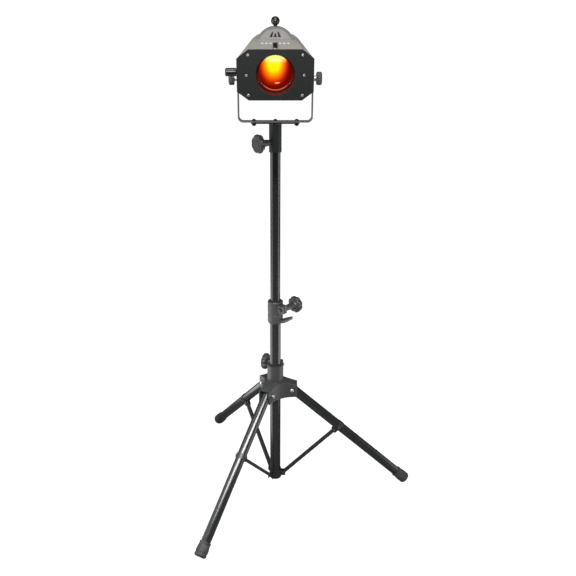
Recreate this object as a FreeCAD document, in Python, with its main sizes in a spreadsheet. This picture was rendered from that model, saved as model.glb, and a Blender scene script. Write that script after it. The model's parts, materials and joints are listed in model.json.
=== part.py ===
"""Follow spot on a folding tripod stand: every piece is its own sub-part, in millimetres, +Z up."""

import FreeCAD
import Part
import Sketcher
import math
import os

Vector = FreeCAD.Vector
Rotation = FreeCAD.Rotation
UP = Vector(0, 0, 1)
FULL_TURN = 360.0

# ---------------------------------------------------------------- driving dimensions
SIZES = {
    # stand tubes
    "lower_tube_radius": 20.0,
    "upper_tube_radius": 17.5,
    "leg_tube_radius": 17.5,
    "tube_wall": 1.5,
    "sliding_gap": 0.3,
    "lower_tube_foot": 25.0,
    "lower_tube_top": 764.0,
    "upper_tube_foot": 560.0,
    "upper_tube_top": 1399.5,
    "bush_length": 35.0,
    # tripod geometry
    "pivot_reach": 62.0,
    "pivot_height": 416.0,
    "leg_spread_angle": 48.2,
    "leg_length": 610.0,
    "leg_top_overhang": 9.0,
    "pivot_bolt_radius": 4.0,
    "pin_gap": 0.08,
    "clip_distance": 245.0,
    "clip_drop": 25.0,
    "clip_length": 20.0,
    "clip_wall": 1.8,
    "bracket_reach": 31.0,
    "bracket_height": 40.0,
    "brace_width": 14.0,
    "brace_depth": 10.0,
    "brace_wall": 1.5,
    "brace_pin_radius": 2.6,
    "foot_cap_radius": 22.0,
    "foot_cap_cover": 52.0,
    "foot_rounding": 8.0,
    # hub
    "hub_bottom": 388.0,
    "hub_shoulder": 454.0,
    "hub_edge_drop": 20.4,
    "hub_reach": 83.0,
    "hub_arm_width": 45.0,
    "hub_waist": 41.0,
    "hub_boss_radius": 9.0,
    "hub_boss_rise": 1.2,
    "hub_channel_width": 36.4,
    "hub_channel_start": 38.0,
    "hub_channel_top": 437.5,
    "hub_collar_radius": 30.0,
    "hub_collar_top": 516.0,
    "hub_clamp_height": 500.5,
    "hub_clamp_azimuth": 67.5,
    "hub_clamp_reach": 38.0,
    # clamps and star knobs
    "clamp_bolt_radius": 4.0,
    "clamp_ear_margin": 10.0,
    "clamp_ear_half_width": 13.0,
    "clamp_ear_height": 30.0,
    "clamp_slit": 3.0,
    "clamp_slit_drop": 6.0,
    "star_knob_radius": 31.0,
    "star_knob_thickness": 20.0,
    "star_scallop_radius": 7.0,
    "star_scallop_offset": 3.5,
    # middle collar of the mast
    "collar_radius": 27.5,
    "collar_foot": 687.0,
    "collar_top": 771.0,
    "collar_clamp_height": 746.0,
    "collar_clamp_azimuth": -43.4,
    "collar_clamp_reach": 35.0,
    # swivel sleeve and yoke
    "sleeve_radius": 20.9,
    "sleeve_foot": 1307.0,
    "sleeve_top": 1401.5,
    "sleeve_boss_height": 1340.0,
    "sleeve_boss_azimuth": 216.9,
    "adapter_length": 160.0,
    "adapter_width": 38.0,
    "adapter_thickness": 4.0,
    "yoke_width": 246.0,
    "yoke_strap": 35.0,
    "yoke_thickness": 4.0,
    "yoke_corner": 18.0,
    "yoke_bolt_spacing": 70.5,
    "yoke_spare_spacing": 35.0,
    "yoke_spare_radius": 5.25,
    "tilt_height": 1544.0,
    "tilt_stud_radius": 5.0,
    "tilt_knob_radius": 21.0,
    "tilt_knob_thickness": 18.2,
    "tilt_stem_length": 9.5,
    # lamp head, in its own frame: optical axis along Y at height 0, tilt axis at Y 0
    "head_nose_down_angle": 5.0,
    "axis_above_tilt": 40.0,
    "head_reach": 187.0,
    "plate_width": 231.0,
    "plate_height": 148.0,
    "plate_chamfer_x": 35.5,
    "plate_chamfer_z": 25.7,
    "plate_thickness": 3.0,
    "cover_wall": 1.5,
    "cover_length": 389.0,
    "rear_width": 156.0,
    "rear_chamfer_x": 18.0,
    "rear_chamfer_z": 13.0,
    "seam_drop": 20.0,
    "lens_opening_radius": 59.0,
    "front_lens_radius": 53.0,
    "front_lens_back": 127.0,
    "lens_edge": 5.0,
    "lens_crown": 9.0,
    "shroud_length": 34.0,
    "focus_lens_back": 40.0,
    "focus_lens_radius": 34.0,
    "rod_radius": 4.0,
    "rod_x": 62.0,
    "rod_z": -52.0,
    "zoom_grip_radius": 12.5,
    "zoom_grip_length": 35.0,
    "zoom_grip_start": 118.0,
    "focus_lever_back": 157.0,
    "focus_lever_width": 14.0,
    "focus_lever_height": 14.0,
    # colour wheel and its hood
    "hood_front": 61.0,
    "hood_depth": 28.0,
    "hood_radius": 64.0,
    "hood_centre": 48.0,
    "hood_wall": 1.5,
    "hood_foot": 74.5,
    "lever_reach": 71.5,
    "lever_slot_angle": 113.0,
    "wheel_height": 42.0,
    "wheel_radius": 63.0,
    "wheel_thickness": 2.0,
    "window_radius": 8.2,
    "window_spacing_angle": 25.0,
    "ball_radius": 14.1,
    "ball_height": 86.4,
    "gate_radius": 7.5,
    # light engine and rear panel
    "led_plane": 104.0,
    "sink_half_width": 42.0,
    "sink_fin_count": 11,
    "fan_radius": 36.0,
    "fan_plane": 178.0,
}

LEG_AZIMUTHS = {"right": 0.0, "back": 120.0, "front": 240.0}

doc = FreeCAD.newDocument("FollowSpot")
sheet = doc.addObject("Spreadsheet::Sheet", "Sheet")
for row, (alias, amount) in enumerate(SIZES.items(), start=1):
    sheet.set(f"A{row}", alias)
    sheet.set(f"B{row}", str(amount))
    sheet.setAlias(f"B{row}", alias)
doc.recompute()


class Size:
    """A length with both its present value and the sheet expression that gives it."""

    def __init__(self, value, text):
        self.value = value
        self.text = text

    def combine(self, other, sign, value):
        return Size(value, f"({self.text} {sign} {as_size(other).text})")

    def __add__(self, other):
        return self.combine(other, "+", self.value + as_size(other).value)

    def __sub__(self, other):
        return self.combine(other, "-", self.value - as_size(other).value)

    def __mul__(self, other):
        return self.combine(other, "*", self.value * as_size(other).value)

    def __truediv__(self, other):
        return self.combine(other, "/", self.value / as_size(other).value)

    def __radd__(self, other):
        return as_size(other) + self

    def __rsub__(self, other):
        return as_size(other) - self

    def __rmul__(self, other):
        return as_size(other) * self

    def __neg__(self):
        return as_size(0) - self


def as_size(amount):
    if isinstance(amount, Size):
        return amount
    return Size(float(amount), repr(round(float(amount), 6)))


def cell(alias):
    return Size(float(getattr(sheet, alias)), "Sheet." + alias)


def number(amount):
    return as_size(amount).value


def bind(thing, path, amount):
    thing.setExpression(path, as_size(amount).text)


# ---------------------------------------------------------------- modelling helpers
NODES = {}


def new_body(name):
    body = doc.addObject("PartDesign::Body", name)
    body.Label = name
    NODES[name] = body
    return body


def origin_feature(body, role):
    return next(item for item in body.Origin.OriginFeatures if item.Role == role)


def new_sketch(body, plane, lift=0, turn=0):
    """A sketch on an origin plane, lifted along its normal and turned about the body's Z axis."""
    sketch = body.newObject("Sketcher::SketchObject", body.Name + "_sketch")
    sketch.AttachmentSupport = (origin_feature(body, plane), "")
    sketch.MapMode = "FlatFace"
    spin_axis = UP if plane == "XY_Plane" else Vector(0, 1, 0)
    sketch.AttachmentOffset = FreeCAD.Placement(Vector(), Rotation(spin_axis, turn))
    if plane == "XY_Plane" or turn == 0:
        bind(sketch, "AttachmentOffset.Base.z", lift)
    return sketch


def pin_point(sketch, geometry, point, x, y):
    """Hold one sketch point at x, y from the sketch's origin."""
    for kind, on_axis, amount in (("DistanceX", -2, x), ("DistanceY", -1, y)):
        amount = as_size(amount)
        if abs(amount.value) < 1e-6:
            sketch.addConstraint(Sketcher.Constraint("PointOnObject", geometry, point, on_axis))
            continue
        index = sketch.addConstraint(
            Sketcher.Constraint(kind, -1, 1, geometry, point, amount.value))
        bind(sketch, f"Constraints[{index}]", amount)


def outline(sketch, points):
    """Add one closed polygon whose corners are bound to the sheet."""
    first = sketch.GeometryCount
    corners = [Vector(number(x), number(y), 0) for x, y in points]
    count = len(corners)
    for i in range(count):
        sketch.addGeometry(Part.LineSegment(corners[i], corners[(i + 1) % count]), False)
    for i in range(count):
        after = first + (i + 1) % count
        sketch.addConstraint(Sketcher.Constraint("Coincident", first + i, 2, after, 1))
    for i, (x, y) in enumerate(points):
        pin_point(sketch, first + i, 1, x, y)
    return sketch


def rectangle(sketch, x0, x1, y0, y1):
    return outline(sketch, [(x0, y0), (x1, y0), (x1, y1), (x0, y1)])


def circle(sketch, radius, x=0, y=0):
    centre = Vector(number(x), number(y), 0)
    index = sketch.addGeometry(Part.Circle(centre, UP, number(radius)), False)
    pin_point(sketch, index, 3, x, y)
    held = sketch.addConstraint(Sketcher.Constraint("Radius", index, number(radius)))
    bind(sketch, f"Constraints[{held}]", radius)
    return sketch


def extrude(body, sketch, length, kind="Pad", reverse=False, midplane=False):
    feature = body.newObject("PartDesign::" + kind, body.Name + "_" + kind.lower())
    feature.Profile = sketch
    if length is None:
        feature.Type = 1
    else:
        bind(feature, "Length", length)
    feature.Midplane = midplane
    feature.Reversed = reverse
    return feature


def pad(body, sketch, length, **options):
    return extrude(body, sketch, length, "Pad", **options)


def pocket(body, sketch, length=None, **options):
    return extrude(body, sketch, length, "Pocket", **options)


def revolve(body, points, kind="Revolution"):
    """Turn a closed outline of (radius, height) points about the body's Z axis."""
    sketch = outline(new_sketch(body, "XZ_Plane"), points)
    feature = body.newObject("PartDesign::" + kind, body.Name + "_turned")
    feature.Profile = sketch
    feature.ReferenceAxis = (sketch, ["V_Axis"])
    feature.Angle = FULL_TURN
    return feature


def repeat_round(body, feature, count, axis="Z_Axis"):
    pattern = body.newObject("PartDesign::PolarPattern", body.Name + "_around")
    pattern.Originals = [feature]
    pattern.Axis = (origin_feature(body, axis), [""])
    pattern.Angle = FULL_TURN
    pattern.Occurrences = count
    body.Tip = pattern
    return pattern


def repeat_line(body, feature, count, length, axis="X_Axis"):
    pattern = body.newObject("PartDesign::LinearPattern", body.Name + "_row")
    pattern.Originals = [feature]
    pattern.Direction = (origin_feature(body, axis), [""])
    bind(pattern, "Length", length)
    pattern.Occurrences = count
    body.Tip = pattern
    return pattern


def dress(body, kind, amount, wanted):
    """Fillet or chamfer the edges of the body's tip that the test picks."""
    doc.recompute()
    base = body.Tip
    names = [f"Edge{i}" for i, edge in enumerate(base.Shape.Edges, start=1) if wanted(edge)]
    feature = body.newObject("PartDesign::" + kind, body.Name + "_" + kind.lower())
    feature.Base = (base, names)
    bind(feature, "Radius" if kind == "Fillet" else "Size", amount)
    return feature


def soften(body, radius, wanted):
    return dress(body, "Fillet", radius, wanted)


def is_ring(radius, height):
    """Picks a full circular edge of that radius at that height."""
    def wanted(edge):
        curve = edge.Curve
        return (isinstance(curve, Part.Circle) and abs(curve.Radius - number(radius)) < 0.01
                and abs(curve.Center.z - number(height)) < 0.01)
    return wanted


def box_object(name, x0, x1, y0, y1, z0, z1):
    box = doc.addObject("Part::Box", name)
    for side, low, high in (("Length", x0, x1), ("Width", y0, y1), ("Height", z0, z1)):
        bind(box, side, high - low)
    for place, low in (("x", x0), ("y", y0), ("z", z0)):
        bind(box, "Placement.Base." + place, low)
    return box


def cylinder_object(name, radius, length, base, direction, angle=FULL_TURN):
    """A cylinder along a row axis, from base, with its length bound to the sheet."""
    cylinder = doc.addObject("Part::Cylinder", name)
    bind(cylinder, "Radius", radius)
    bind(cylinder, "Height", length)
    cylinder.Angle = angle
    cylinder.Placement.Rotation = Rotation(UP, direction)
    for place, amount in zip("xyz", base):
        bind(cylinder, "Placement.Base." + place, amount)
    return cylinder


def cut_object(name, base, tools):
    result = base
    for tool in tools:
        cut = doc.addObject("Part::Cut", name)
        cut.Base = result
        cut.Tool = tool
        result = cut
    return result


def fuse_object(name, pieces):
    fused = doc.addObject("Part::MultiFuse", name)
    fused.Shapes = pieces
    return fused


def common_object(name, first, second):
    common = doc.addObject("Part::MultiCommon", name)
    common.Shapes = [first, second]
    return common


def keep(name, thing):
    """Name a boolean's result as a sub-part."""
    thing.Label = name
    NODES[name] = thing
    return thing


def group_object(name, pieces):
    """Identical fasteners that stay separate solids under one name."""
    group = doc.addObject("Part::Compound", name)
    group.Links = pieces
    return keep(name, group)


def place(thing, base, rotation=Rotation()):
    thing.Placement = FreeCAD.Placement(base, rotation)


def heading(azimuth, reach=1.0, height=0.0):
    angle = math.radians(number(azimuth))
    return Vector(number(reach) * math.cos(angle), number(reach) * math.sin(angle),
                  number(height))


def along(direction):
    return Rotation(UP, direction)


def around(azimuth, outward, sideways):
    """A plan point given outward along an azimuth and sideways to its left."""
    cosine = math.cos(math.radians(azimuth))
    sine = math.sin(math.radians(azimuth))
    return outward * cosine - sideways * sine, outward * sine + sideways * cosine


# ---------------------------------------------------------------- tripod
spread = math.radians(number(cell("leg_spread_angle")))


def clip_point():
    """Radius and height of the brace's upper pin with the legs spread."""
    distance = number(cell("clip_distance"))
    drop = number(cell("clip_drop"))
    radius = number(cell("pivot_reach")) + distance * math.sin(spread) - drop * math.cos(spread)
    height = number(cell("pivot_height")) - distance * math.cos(spread) - drop * math.sin(spread)
    return radius, height


def brace_line():
    """Length of a brace between its pins and its lean from the vertical."""
    radius, height = clip_point()
    run = radius - number(cell("bracket_reach"))
    fall = height - number(cell("bracket_height"))
    return math.hypot(run, fall), math.degrees(math.atan2(run, fall))


def leg_placement(azimuth):
    turn = Rotation(UP, azimuth) * Rotation(Vector(0, 1, 0), -number(cell("leg_spread_angle")))
    return heading(azimuth, cell("pivot_reach"), cell("pivot_height")), turn


def leg_tube(name):
    """The leg hangs along -Z from its pivot, with the mast on its -X side."""
    body = new_body(name)
    radius = cell("leg_tube_radius")
    ring = new_sketch(body, "XY_Plane", lift=cell("leg_top_overhang"))
    circle(ring, radius)
    circle(ring, radius - cell("tube_wall"))
    pad(body, ring, cell("leg_length") + cell("leg_top_overhang") - 6, reverse=True)
    pivot = circle(new_sketch(body, "XZ_Plane"), cell("pivot_bolt_radius") + cell("pin_gap"))
    pocket(body, pivot, midplane=True)
    cross = circle(new_sketch(body, "XZ_Plane"), cell("brace_pin_radius"), 0,
                   -cell("clip_distance"))
    pocket(body, cross, midplane=True)
    return body


def foot_cap(name):
    """Rubber shoe with two grip ribs and a flat worn where it stands on the floor."""
    body = new_body(name)
    inner = cell("leg_tube_radius")
    outer = cell("foot_cap_radius")
    end = -cell("leg_length")
    mouth = end + cell("foot_cap_cover")
    revolve(body, [
        (0, end), (outer, end), (outer, end + 9), (outer - 1.6, end + 11.5),
        (outer - 1.6, end + 16), (outer, end + 18.5), (outer, end + 26),
        (outer - 2.2, mouth - 8), (outer - 2.2, mouth - 5), (outer - 1.2, mouth - 4),
        (outer - 1.2, mouth), (inner, mouth), (inner, end + 6), (0, end + 6)])
    soften(body, cell("foot_rounding"), is_ring(outer, end))
    sole = new_sketch(body, "XZ_Plane")
    slope = math.tan(spread)
    floor = -cell("pivot_height") / math.cos(spread)
    far = 60
    outline(sole, [(-far, floor + far * slope), (far, floor - far * slope),
                   (far, floor - far * slope - far), (-far, floor - far * slope - far)])
    pocket(body, sole, midplane=True)
    return body


def leg_clip(name):
    """Sheet clip round the leg with its cross bolt and the rivet that carries the brace."""
    band = doc.addObject("PartDesign::Body", name + "_band")
    inner = cell("leg_tube_radius")
    outer = inner + cell("clip_wall")
    drop = cell("clip_drop")
    gap = cell("brace_width") / 2 + 0.4
    ring = circle(new_sketch(band, "XY_Plane"), outer)
    pad(band, ring, cell("clip_length"), midplane=True)
    for side in (-1, 1):
        ear = new_sketch(band, "XY_Plane")
        near = side * gap
        far = side * (gap + cell("clip_wall"))
        rectangle(ear, -drop - 7, -drop / 2, near, far)
        pad(band, ear, cell("clip_length"), midplane=True)
    pocket(band, circle(new_sketch(band, "XY_Plane"), inner), midplane=True)
    slot = rectangle(new_sketch(band, "XY_Plane"), -drop, -inner / 2, -gap, gap)
    pocket(band, slot, midplane=True)
    holes = new_sketch(band, "XZ_Plane")
    circle(holes, cell("brace_pin_radius"))
    circle(holes, cell("brace_pin_radius"), -drop, 0)
    pocket(band, holes, midplane=True)
    dress(band, "Fillet", 5, lambda edge: abs(edge.BoundBox.XMax + number(drop) + 7) < 0.01
          and edge.BoundBox.YLength > 1 and edge.BoundBox.ZLength < 0.01)
    pieces = [band]
    for title, x, half in (("bolt", 0, inner + 2.6), ("rivet", -drop, gap + cell("clip_wall"))):
        pin = doc.addObject("PartDesign::Body", f"{name}_{title}")
        head = half + 3.4
        pin_radius = cell("brace_pin_radius")
        revolve(pin, [(0, -head), (3, -head), (5, -half - 1.2), (5, -half), (pin_radius, -half),
                      (pin_radius, half), (5, half), (5, half + 1.2), (3, head), (0, head)])
        pin.Placement = FreeCAD.Placement(Vector(number(x), 0, 0),
                                          Rotation(Vector(1, 0, 0), 90))
        pieces.append(pin)
    return group_object(name, pieces)


def brace(name):
    """Pressed channel, open towards the leg, hanging along -Z from its upper pin."""
    body = new_body(name)
    half = cell("brace_width") / 2
    depth = cell("brace_depth") / 2
    wall = cell("brace_wall")
    length = as_size(brace_line()[0])
    end = 7
    side = rectangle(new_sketch(body, "XZ_Plane"), -depth, depth, -length - end, end)
    pad(body, side, cell("brace_width"), midplane=True)
    dress(body, "Fillet", 4.5, lambda edge: edge.BoundBox.YLength > 2)
    hollow = rectangle(new_sketch(body, "XY_Plane", lift=end + 5), -depth + wall, depth + 5,
                       -half + wall, half - wall)
    pocket(body, hollow)
    holes = new_sketch(body, "XZ_Plane")
    circle(holes, cell("brace_pin_radius") + cell("pin_gap"))
    circle(holes, cell("brace_pin_radius") + cell("pin_gap"), 0, -length)
    pocket(body, holes, midplane=True)
    return body


def make_leg(side):
    azimuth = LEG_AZIMUTHS[side]
    base, turn = leg_placement(azimuth)
    place(leg_tube("leg_tube_" + side), base, turn)
    place(foot_cap("foot_cap_" + side), base, turn)
    clip_base = base + turn.multVec(Vector(0, 0, -number(cell("clip_distance"))))
    place(leg_clip("leg_clip_" + side), clip_base, turn)
    radius, height = clip_point()
    lean = Rotation(UP, azimuth) * Rotation(Vector(0, 1, 0), brace_line()[1])
    place(brace("brace_" + side), heading(azimuth, radius, height), lean)


def pivot_bolts():
    """Leg pivot bolts with domed heads, one through each pair of hub cheeks."""
    pieces = []
    half = cell("hub_arm_width") / 2 + cell("hub_boss_rise")
    radius = cell("pivot_bolt_radius")
    for side, azimuth in LEG_AZIMUTHS.items():
        bolt = doc.addObject("PartDesign::Body", "pivot_bolt_" + side)
        revolve(bolt, [
            (0, -half - 6), (6.5, -half - 6), (6.5, -half), (radius, -half), (radius, half),
            (7.5, half), (7.5, half + 1.5), (5, half + 4), (0, half + 4.6)])
        bolt.Placement = FreeCAD.Placement(
            heading(azimuth, cell("pivot_reach"), cell("pivot_height")),
            Rotation(UP, azimuth) * Rotation(Vector(1, 0, 0), 90))
        pieces.append(bolt)
    return pieces


def clamp_ear(body, azimuth, reach, bolt_height, collar_radius):
    """Lug of a pinch clamp, rooted in a round collar."""
    height = cell("clamp_ear_height")
    half = cell("clamp_ear_half_width")
    plan = new_sketch(body, "XY_Plane", lift=bolt_height - height / 2, turn=azimuth)
    rectangle(plan, collar_radius / 2, reach + cell("clamp_ear_margin"), -half, half)
    pad(body, plan, height)


def clamp_slit(body, azimuth, reach, bolt_height):
    """Slit that splits the lug and its collar upwards, and the hole for the clamp bolt."""
    height = cell("clamp_ear_height")
    half = cell("clamp_slit") / 2
    foot = bolt_height - height / 2 - cell("clamp_slit_drop")
    slit = rectangle(new_sketch(body, "XY_Plane", lift=foot, turn=azimuth),
                     cell("upper_tube_radius") / 2, reach + 2 * cell("clamp_ear_margin"),
                     -half, half)
    pocket(body, slit, 2 * height, reverse=True)
    hole = circle(new_sketch(body, "XZ_Plane", turn=azimuth), cell("clamp_bolt_radius"),
                  reach, bolt_height)
    pocket(body, hole, midplane=True)


def hub_casting():
    body = new_body("hub_casting")
    bottom = cell("hub_bottom")
    shoulder = cell("hub_shoulder")
    collar = cell("hub_collar_radius")
    reach = cell("hub_reach")
    half = cell("hub_arm_width") / 2
    corners = []
    for azimuth in LEG_AZIMUTHS.values():
        for side in (-1, 1):
            corners.append(around(azimuth, reach, side * half))
    pad(body, outline(new_sketch(body, "XY_Plane", lift=bottom), corners), shoulder - bottom)
    first = Vector(*(number(x) for x in corners[1]), 0)
    second = Vector(*(number(x) for x in corners[2]), 0)
    chord = (second - first).Length / 2
    sagitta = ((first + second) / 2).Length - number(cell("hub_waist"))
    bite = (chord ** 2 + sagitta ** 2) / (2 * sagitta)
    centre = around(60, cell("hub_waist") + bite, as_size(0))
    scoop = pocket(body, circle(new_sketch(body, "XY_Plane"), bite, *centre), midplane=True)
    repeat_round(body, scoop, 3)
    edge = reach + 12
    above = shoulder + 5
    revolve(body, [(collar, shoulder), (edge, shoulder - cell("hub_edge_drop")), (edge, above),
                   (collar, above)], "Groove")
    soften(body, 2, lambda e: e.BoundBox.ZMin > number(bottom) + 15)
    pad(body, circle(new_sketch(body, "XY_Plane", lift=bottom), collar),
        cell("hub_collar_top") - bottom)
    boss = circle(new_sketch(body, "XZ_Plane"), cell("hub_boss_radius"), cell("pivot_reach"),
                  cell("pivot_height"))
    boss_width = cell("hub_arm_width") + 2 * cell("hub_boss_rise")
    repeat_round(body, pad(body, boss, boss_width, midplane=True), 3)
    clamp = (number(cell("hub_clamp_azimuth")), cell("hub_clamp_reach"),
             cell("hub_clamp_height"))
    clamp_ear(body, *clamp, collar)
    arm = rectangle(new_sketch(body, "XY_Plane", lift=bottom), cell("hub_channel_start"),
                    edge, -cell("hub_channel_width") / 2, cell("hub_channel_width") / 2)
    channel = pocket(body, arm, cell("hub_channel_top") - bottom, reverse=True)
    repeat_round(body, channel, 3)
    pivot = circle(new_sketch(body, "XZ_Plane"), cell("pivot_bolt_radius"),
                   cell("pivot_reach"), cell("pivot_height"))
    repeat_round(body, pocket(body, pivot, cell("hub_arm_width") + 8, midplane=True), 3)
    bore = circle(new_sketch(body, "XY_Plane"), cell("lower_tube_radius") + cell("sliding_gap"))
    pocket(body, bore, midplane=True)
    clamp_slit(body, *clamp)
    return body


def hexagon(across_flats):
    corner = number(across_flats) / math.sqrt(3)
    return [(corner * math.cos(math.radians(60 * i + 30)),
             corner * math.sin(math.radians(60 * i + 30))) for i in range(6)]


def clamp_bolt(name, shank_end):
    """Hex head bolt across a clamp: local Z runs from the head towards the knob."""
    body = doc.addObject("PartDesign::Body", name)
    half = cell("clamp_ear_half_width")
    head = outline(new_sketch(body, "XY_Plane", lift=-half), hexagon(13))
    pad(body, head, 6, reverse=True)
    pad(body, circle(new_sketch(body, "XY_Plane", lift=-half), 8), 1.4, reverse=True)
    shank = circle(new_sketch(body, "XY_Plane", lift=-half - 3), cell("clamp_bolt_radius"))
    pad(body, shank, shank_end + half + 3)
    return body


def star_knob(name, neck, bore_depth, screw=None):
    """Lobed hand knob on a tapered neck; screw adds a threaded stud below the neck."""
    body = new_body(name)
    rim = cell("star_knob_radius")
    thick = cell("star_knob_thickness")
    bore = cell("clamp_bolt_radius") + cell("pin_gap")
    top = neck + thick
    profile = [
        (0, top - 1), (10, top), (rim - 6, top), (rim - 2, top - 2), (rim, top - 5),
        (rim, neck + 6), (rim - 2, neck + 3), (rim - 8, neck + 1), (16, neck), (12, neck - 5),
        (10.5, 1), (9.5, 0)]
    if screw is None:
        profile += [(bore, 0), (bore, bore_depth), (0, bore_depth)]
    else:
        stud = cell("clamp_bolt_radius")
        profile += [(stud, 0), (stud, -screw + 1.5), (stud - 1.5, -screw), (0, -screw)]
    revolve(body, profile)
    scallop = circle(new_sketch(body, "XY_Plane", lift=neck - 6), cell("star_scallop_radius"),
                     rim + cell("star_scallop_offset"), 0)
    repeat_round(body, pocket(body, scallop, 2 * thick, reverse=True), 8)
    return body


def make_clamp(prefix, azimuth_cell, reach_cell, height_cell, neck):
    """Bolt and knob of one pinch clamp, crossing the mast beside its tube."""
    azimuth = number(cell(azimuth_cell))
    seat = heading(azimuth, cell(reach_cell), cell(height_cell))
    way = along(heading(azimuth + 90))
    bolt = clamp_bolt(prefix + "_clamp_bolt", neck + number(cell("clamp_ear_half_width")) + 8)
    place(bolt, seat, way)
    knob_seat = seat + heading(azimuth + 90, cell("clamp_ear_half_width") + 0.5)
    place(star_knob(prefix + "_knob", neck, neck + 9), knob_seat, way)
    return bolt


# ---------------------------------------------------------------- mast
def tube(name, radius, foot, top):
    body = new_body(name)
    ring = circle(new_sketch(body, "XY_Plane", lift=foot), radius)
    circle(ring, radius - cell("tube_wall"))
    pad(body, ring, top - foot)
    return body


def bush(name, outer, inner, foot):
    body = new_body(name)
    ring = circle(new_sketch(body, "XY_Plane", lift=foot), outer)
    circle(ring, inner)
    pad(body, ring, cell("bush_length"))
    return body


def foot_bracket():
    """Ring at the mast's foot with three pairs of ears that flank the braces' ends."""
    body = new_body("foot_bracket")
    inner = cell("lower_tube_radius")
    foot = cell("lower_tube_foot")
    middle = cell("bracket_height")
    gap = cell("brace_width") / 2 + 1
    pad(body, circle(new_sketch(body, "XY_Plane", lift=foot), inner + 3), 34)
    for side in (-1, 1):
        ear = rectangle(new_sketch(body, "XY_Plane", lift=middle - 9), inner - 8,
                        cell("bracket_reach") + 8, side * gap, side * (gap + 2.5))
        repeat_round(body, pad(body, ear, 18), 3)
    pocket(body, circle(new_sketch(body, "XY_Plane"), inner), midplane=True)
    hole = circle(new_sketch(body, "XZ_Plane"), cell("brace_pin_radius"),
                  cell("bracket_reach"), middle)
    repeat_round(body, pocket(body, hole, 30, midplane=True), 3)
    pad(body, circle(new_sketch(body, "XY_Plane", lift=foot), inner + 3), 3, reverse=True)
    return body


def bracket_bolts():
    """Short shouldered bolts in the bracket's ears; they stop at the ears' inner faces."""
    pieces = []
    gap = cell("brace_width") / 2 + 1
    radius = cell("brace_pin_radius")
    for side, azimuth in LEG_AZIMUTHS.items():
        for hand in (-1, 1):
            bolt = doc.addObject("PartDesign::Body", "bracket_bolt_" + side)
            revolve(bolt, [(0, gap), (radius, gap), (radius, gap + 2.5), (4.6, gap + 2.5),
                           (4.6, gap + 5), (3.4, gap + 6), (0, gap + 6)])
            bolt.Placement = FreeCAD.Placement(
                heading(azimuth, cell("bracket_reach"), cell("bracket_height")),
                Rotation(UP, azimuth) * Rotation(Vector(1, 0, 0), 90 * hand))
            pieces.append(bolt)
    return group_object("bracket_bolts", pieces)


def mast_collar():
    """Moulded split collar on the lower tube's top, with its clamp lug and finger rest."""
    body = new_body("mast_collar")
    outer = cell("collar_radius")
    foot = cell("collar_foot")
    top = cell("collar_top")
    groove = foot + 32
    revolve(body, [
        (0, foot), (outer - 2.5, foot), (outer - 0.5, foot + 3), (outer, foot + 5),
        (outer, groove), (outer - 1.6, groove + 1.5), (outer - 1.6, groove + 5.5),
        (outer, groove + 7), (outer, top - 2), (outer - 1.5, top), (0, top)])
    azimuth = number(cell("collar_clamp_azimuth"))
    clamp = cell("collar_clamp_height")
    reach = cell("collar_clamp_reach")
    clamp_ear(body, azimuth, reach, clamp, outer)
    finger = outline(new_sketch(body, "XY_Plane", lift=foot + 6, turn=azimuth), [
        (outer - 10, -6), (reach + 4, -2), (reach + 6, 20), (reach + 3, 54), (reach - 2, 54),
        (outer - 6, 12)])
    pad(body, finger, 10)
    soften(body, 2.5, lambda e: abs(e.BoundBox.ZLength - 10) < 0.01
           and math.hypot(e.CenterOfMass.x, e.CenterOfMass.y) > number(outer) + 2)
    inner = cell("lower_tube_radius")
    lower = circle(new_sketch(body, "XY_Plane", lift=foot - 1), inner)
    pocket(body, lower, cell("lower_tube_top") - foot + 1, reverse=True)
    pocket(body, circle(new_sketch(body, "XY_Plane"),
                        cell("upper_tube_radius") + cell("sliding_gap")), midplane=True)
    clamp_slit(body, azimuth, reach, clamp)
    return body


def mast_sleeve():
    """Swivel sleeve over the upper tube, welded to the plate that carries the yoke."""
    body = new_body("mast_sleeve")
    outer = cell("sleeve_radius")
    foot = cell("sleeve_foot")
    top = cell("sleeve_top")
    pad(body, circle(new_sketch(body, "XY_Plane", lift=foot), outer), top - foot)
    boss = circle(new_sketch(body, "XZ_Plane"), 9, 0, cell("sleeve_boss_height"))
    boss.AttachmentOffset = FreeCAD.Placement(
        Vector(), Rotation(Vector(0, 1, 0), number(cell("sleeve_boss_azimuth")) + 90))
    pad(body, boss, outer + 7)
    pocket(body, circle(new_sketch(body, "XY_Plane", lift=foot - 1),
                        cell("upper_tube_radius") + cell("sliding_gap")),
           top - foot + 1, reverse=True)
    screw = circle(new_sketch(body, "XZ_Plane"), cell("clamp_bolt_radius") + cell("pin_gap"), 0,
                   cell("sleeve_boss_height"))
    screw.AttachmentOffset = boss.AttachmentOffset
    pocket(body, screw, outer + 20, reverse=True)
    plate = rectangle(new_sketch(body, "XY_Plane", lift=top), -cell("adapter_length") / 2,
                      cell("adapter_length") / 2, -cell("adapter_width") / 2,
                      cell("adapter_width") / 2)
    pad(body, plate, cell("adapter_thickness"))
    soften(body, 8, lambda e: abs(e.BoundBox.ZLength - number(cell("adapter_thickness"))) < 0.01
           and abs(e.BoundBox.XMin) > 70)
    holes = new_sketch(body, "XY_Plane", lift=top + 10)
    for step in (-1, 0, 1):
        circle(holes, 4, step * cell("yoke_bolt_spacing"), 0)
    for step in (-1, 1):
        circle(holes, cell("yoke_spare_radius"), step * cell("yoke_spare_spacing"), 0)
    pocket(body, holes, 16)
    return body


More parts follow.
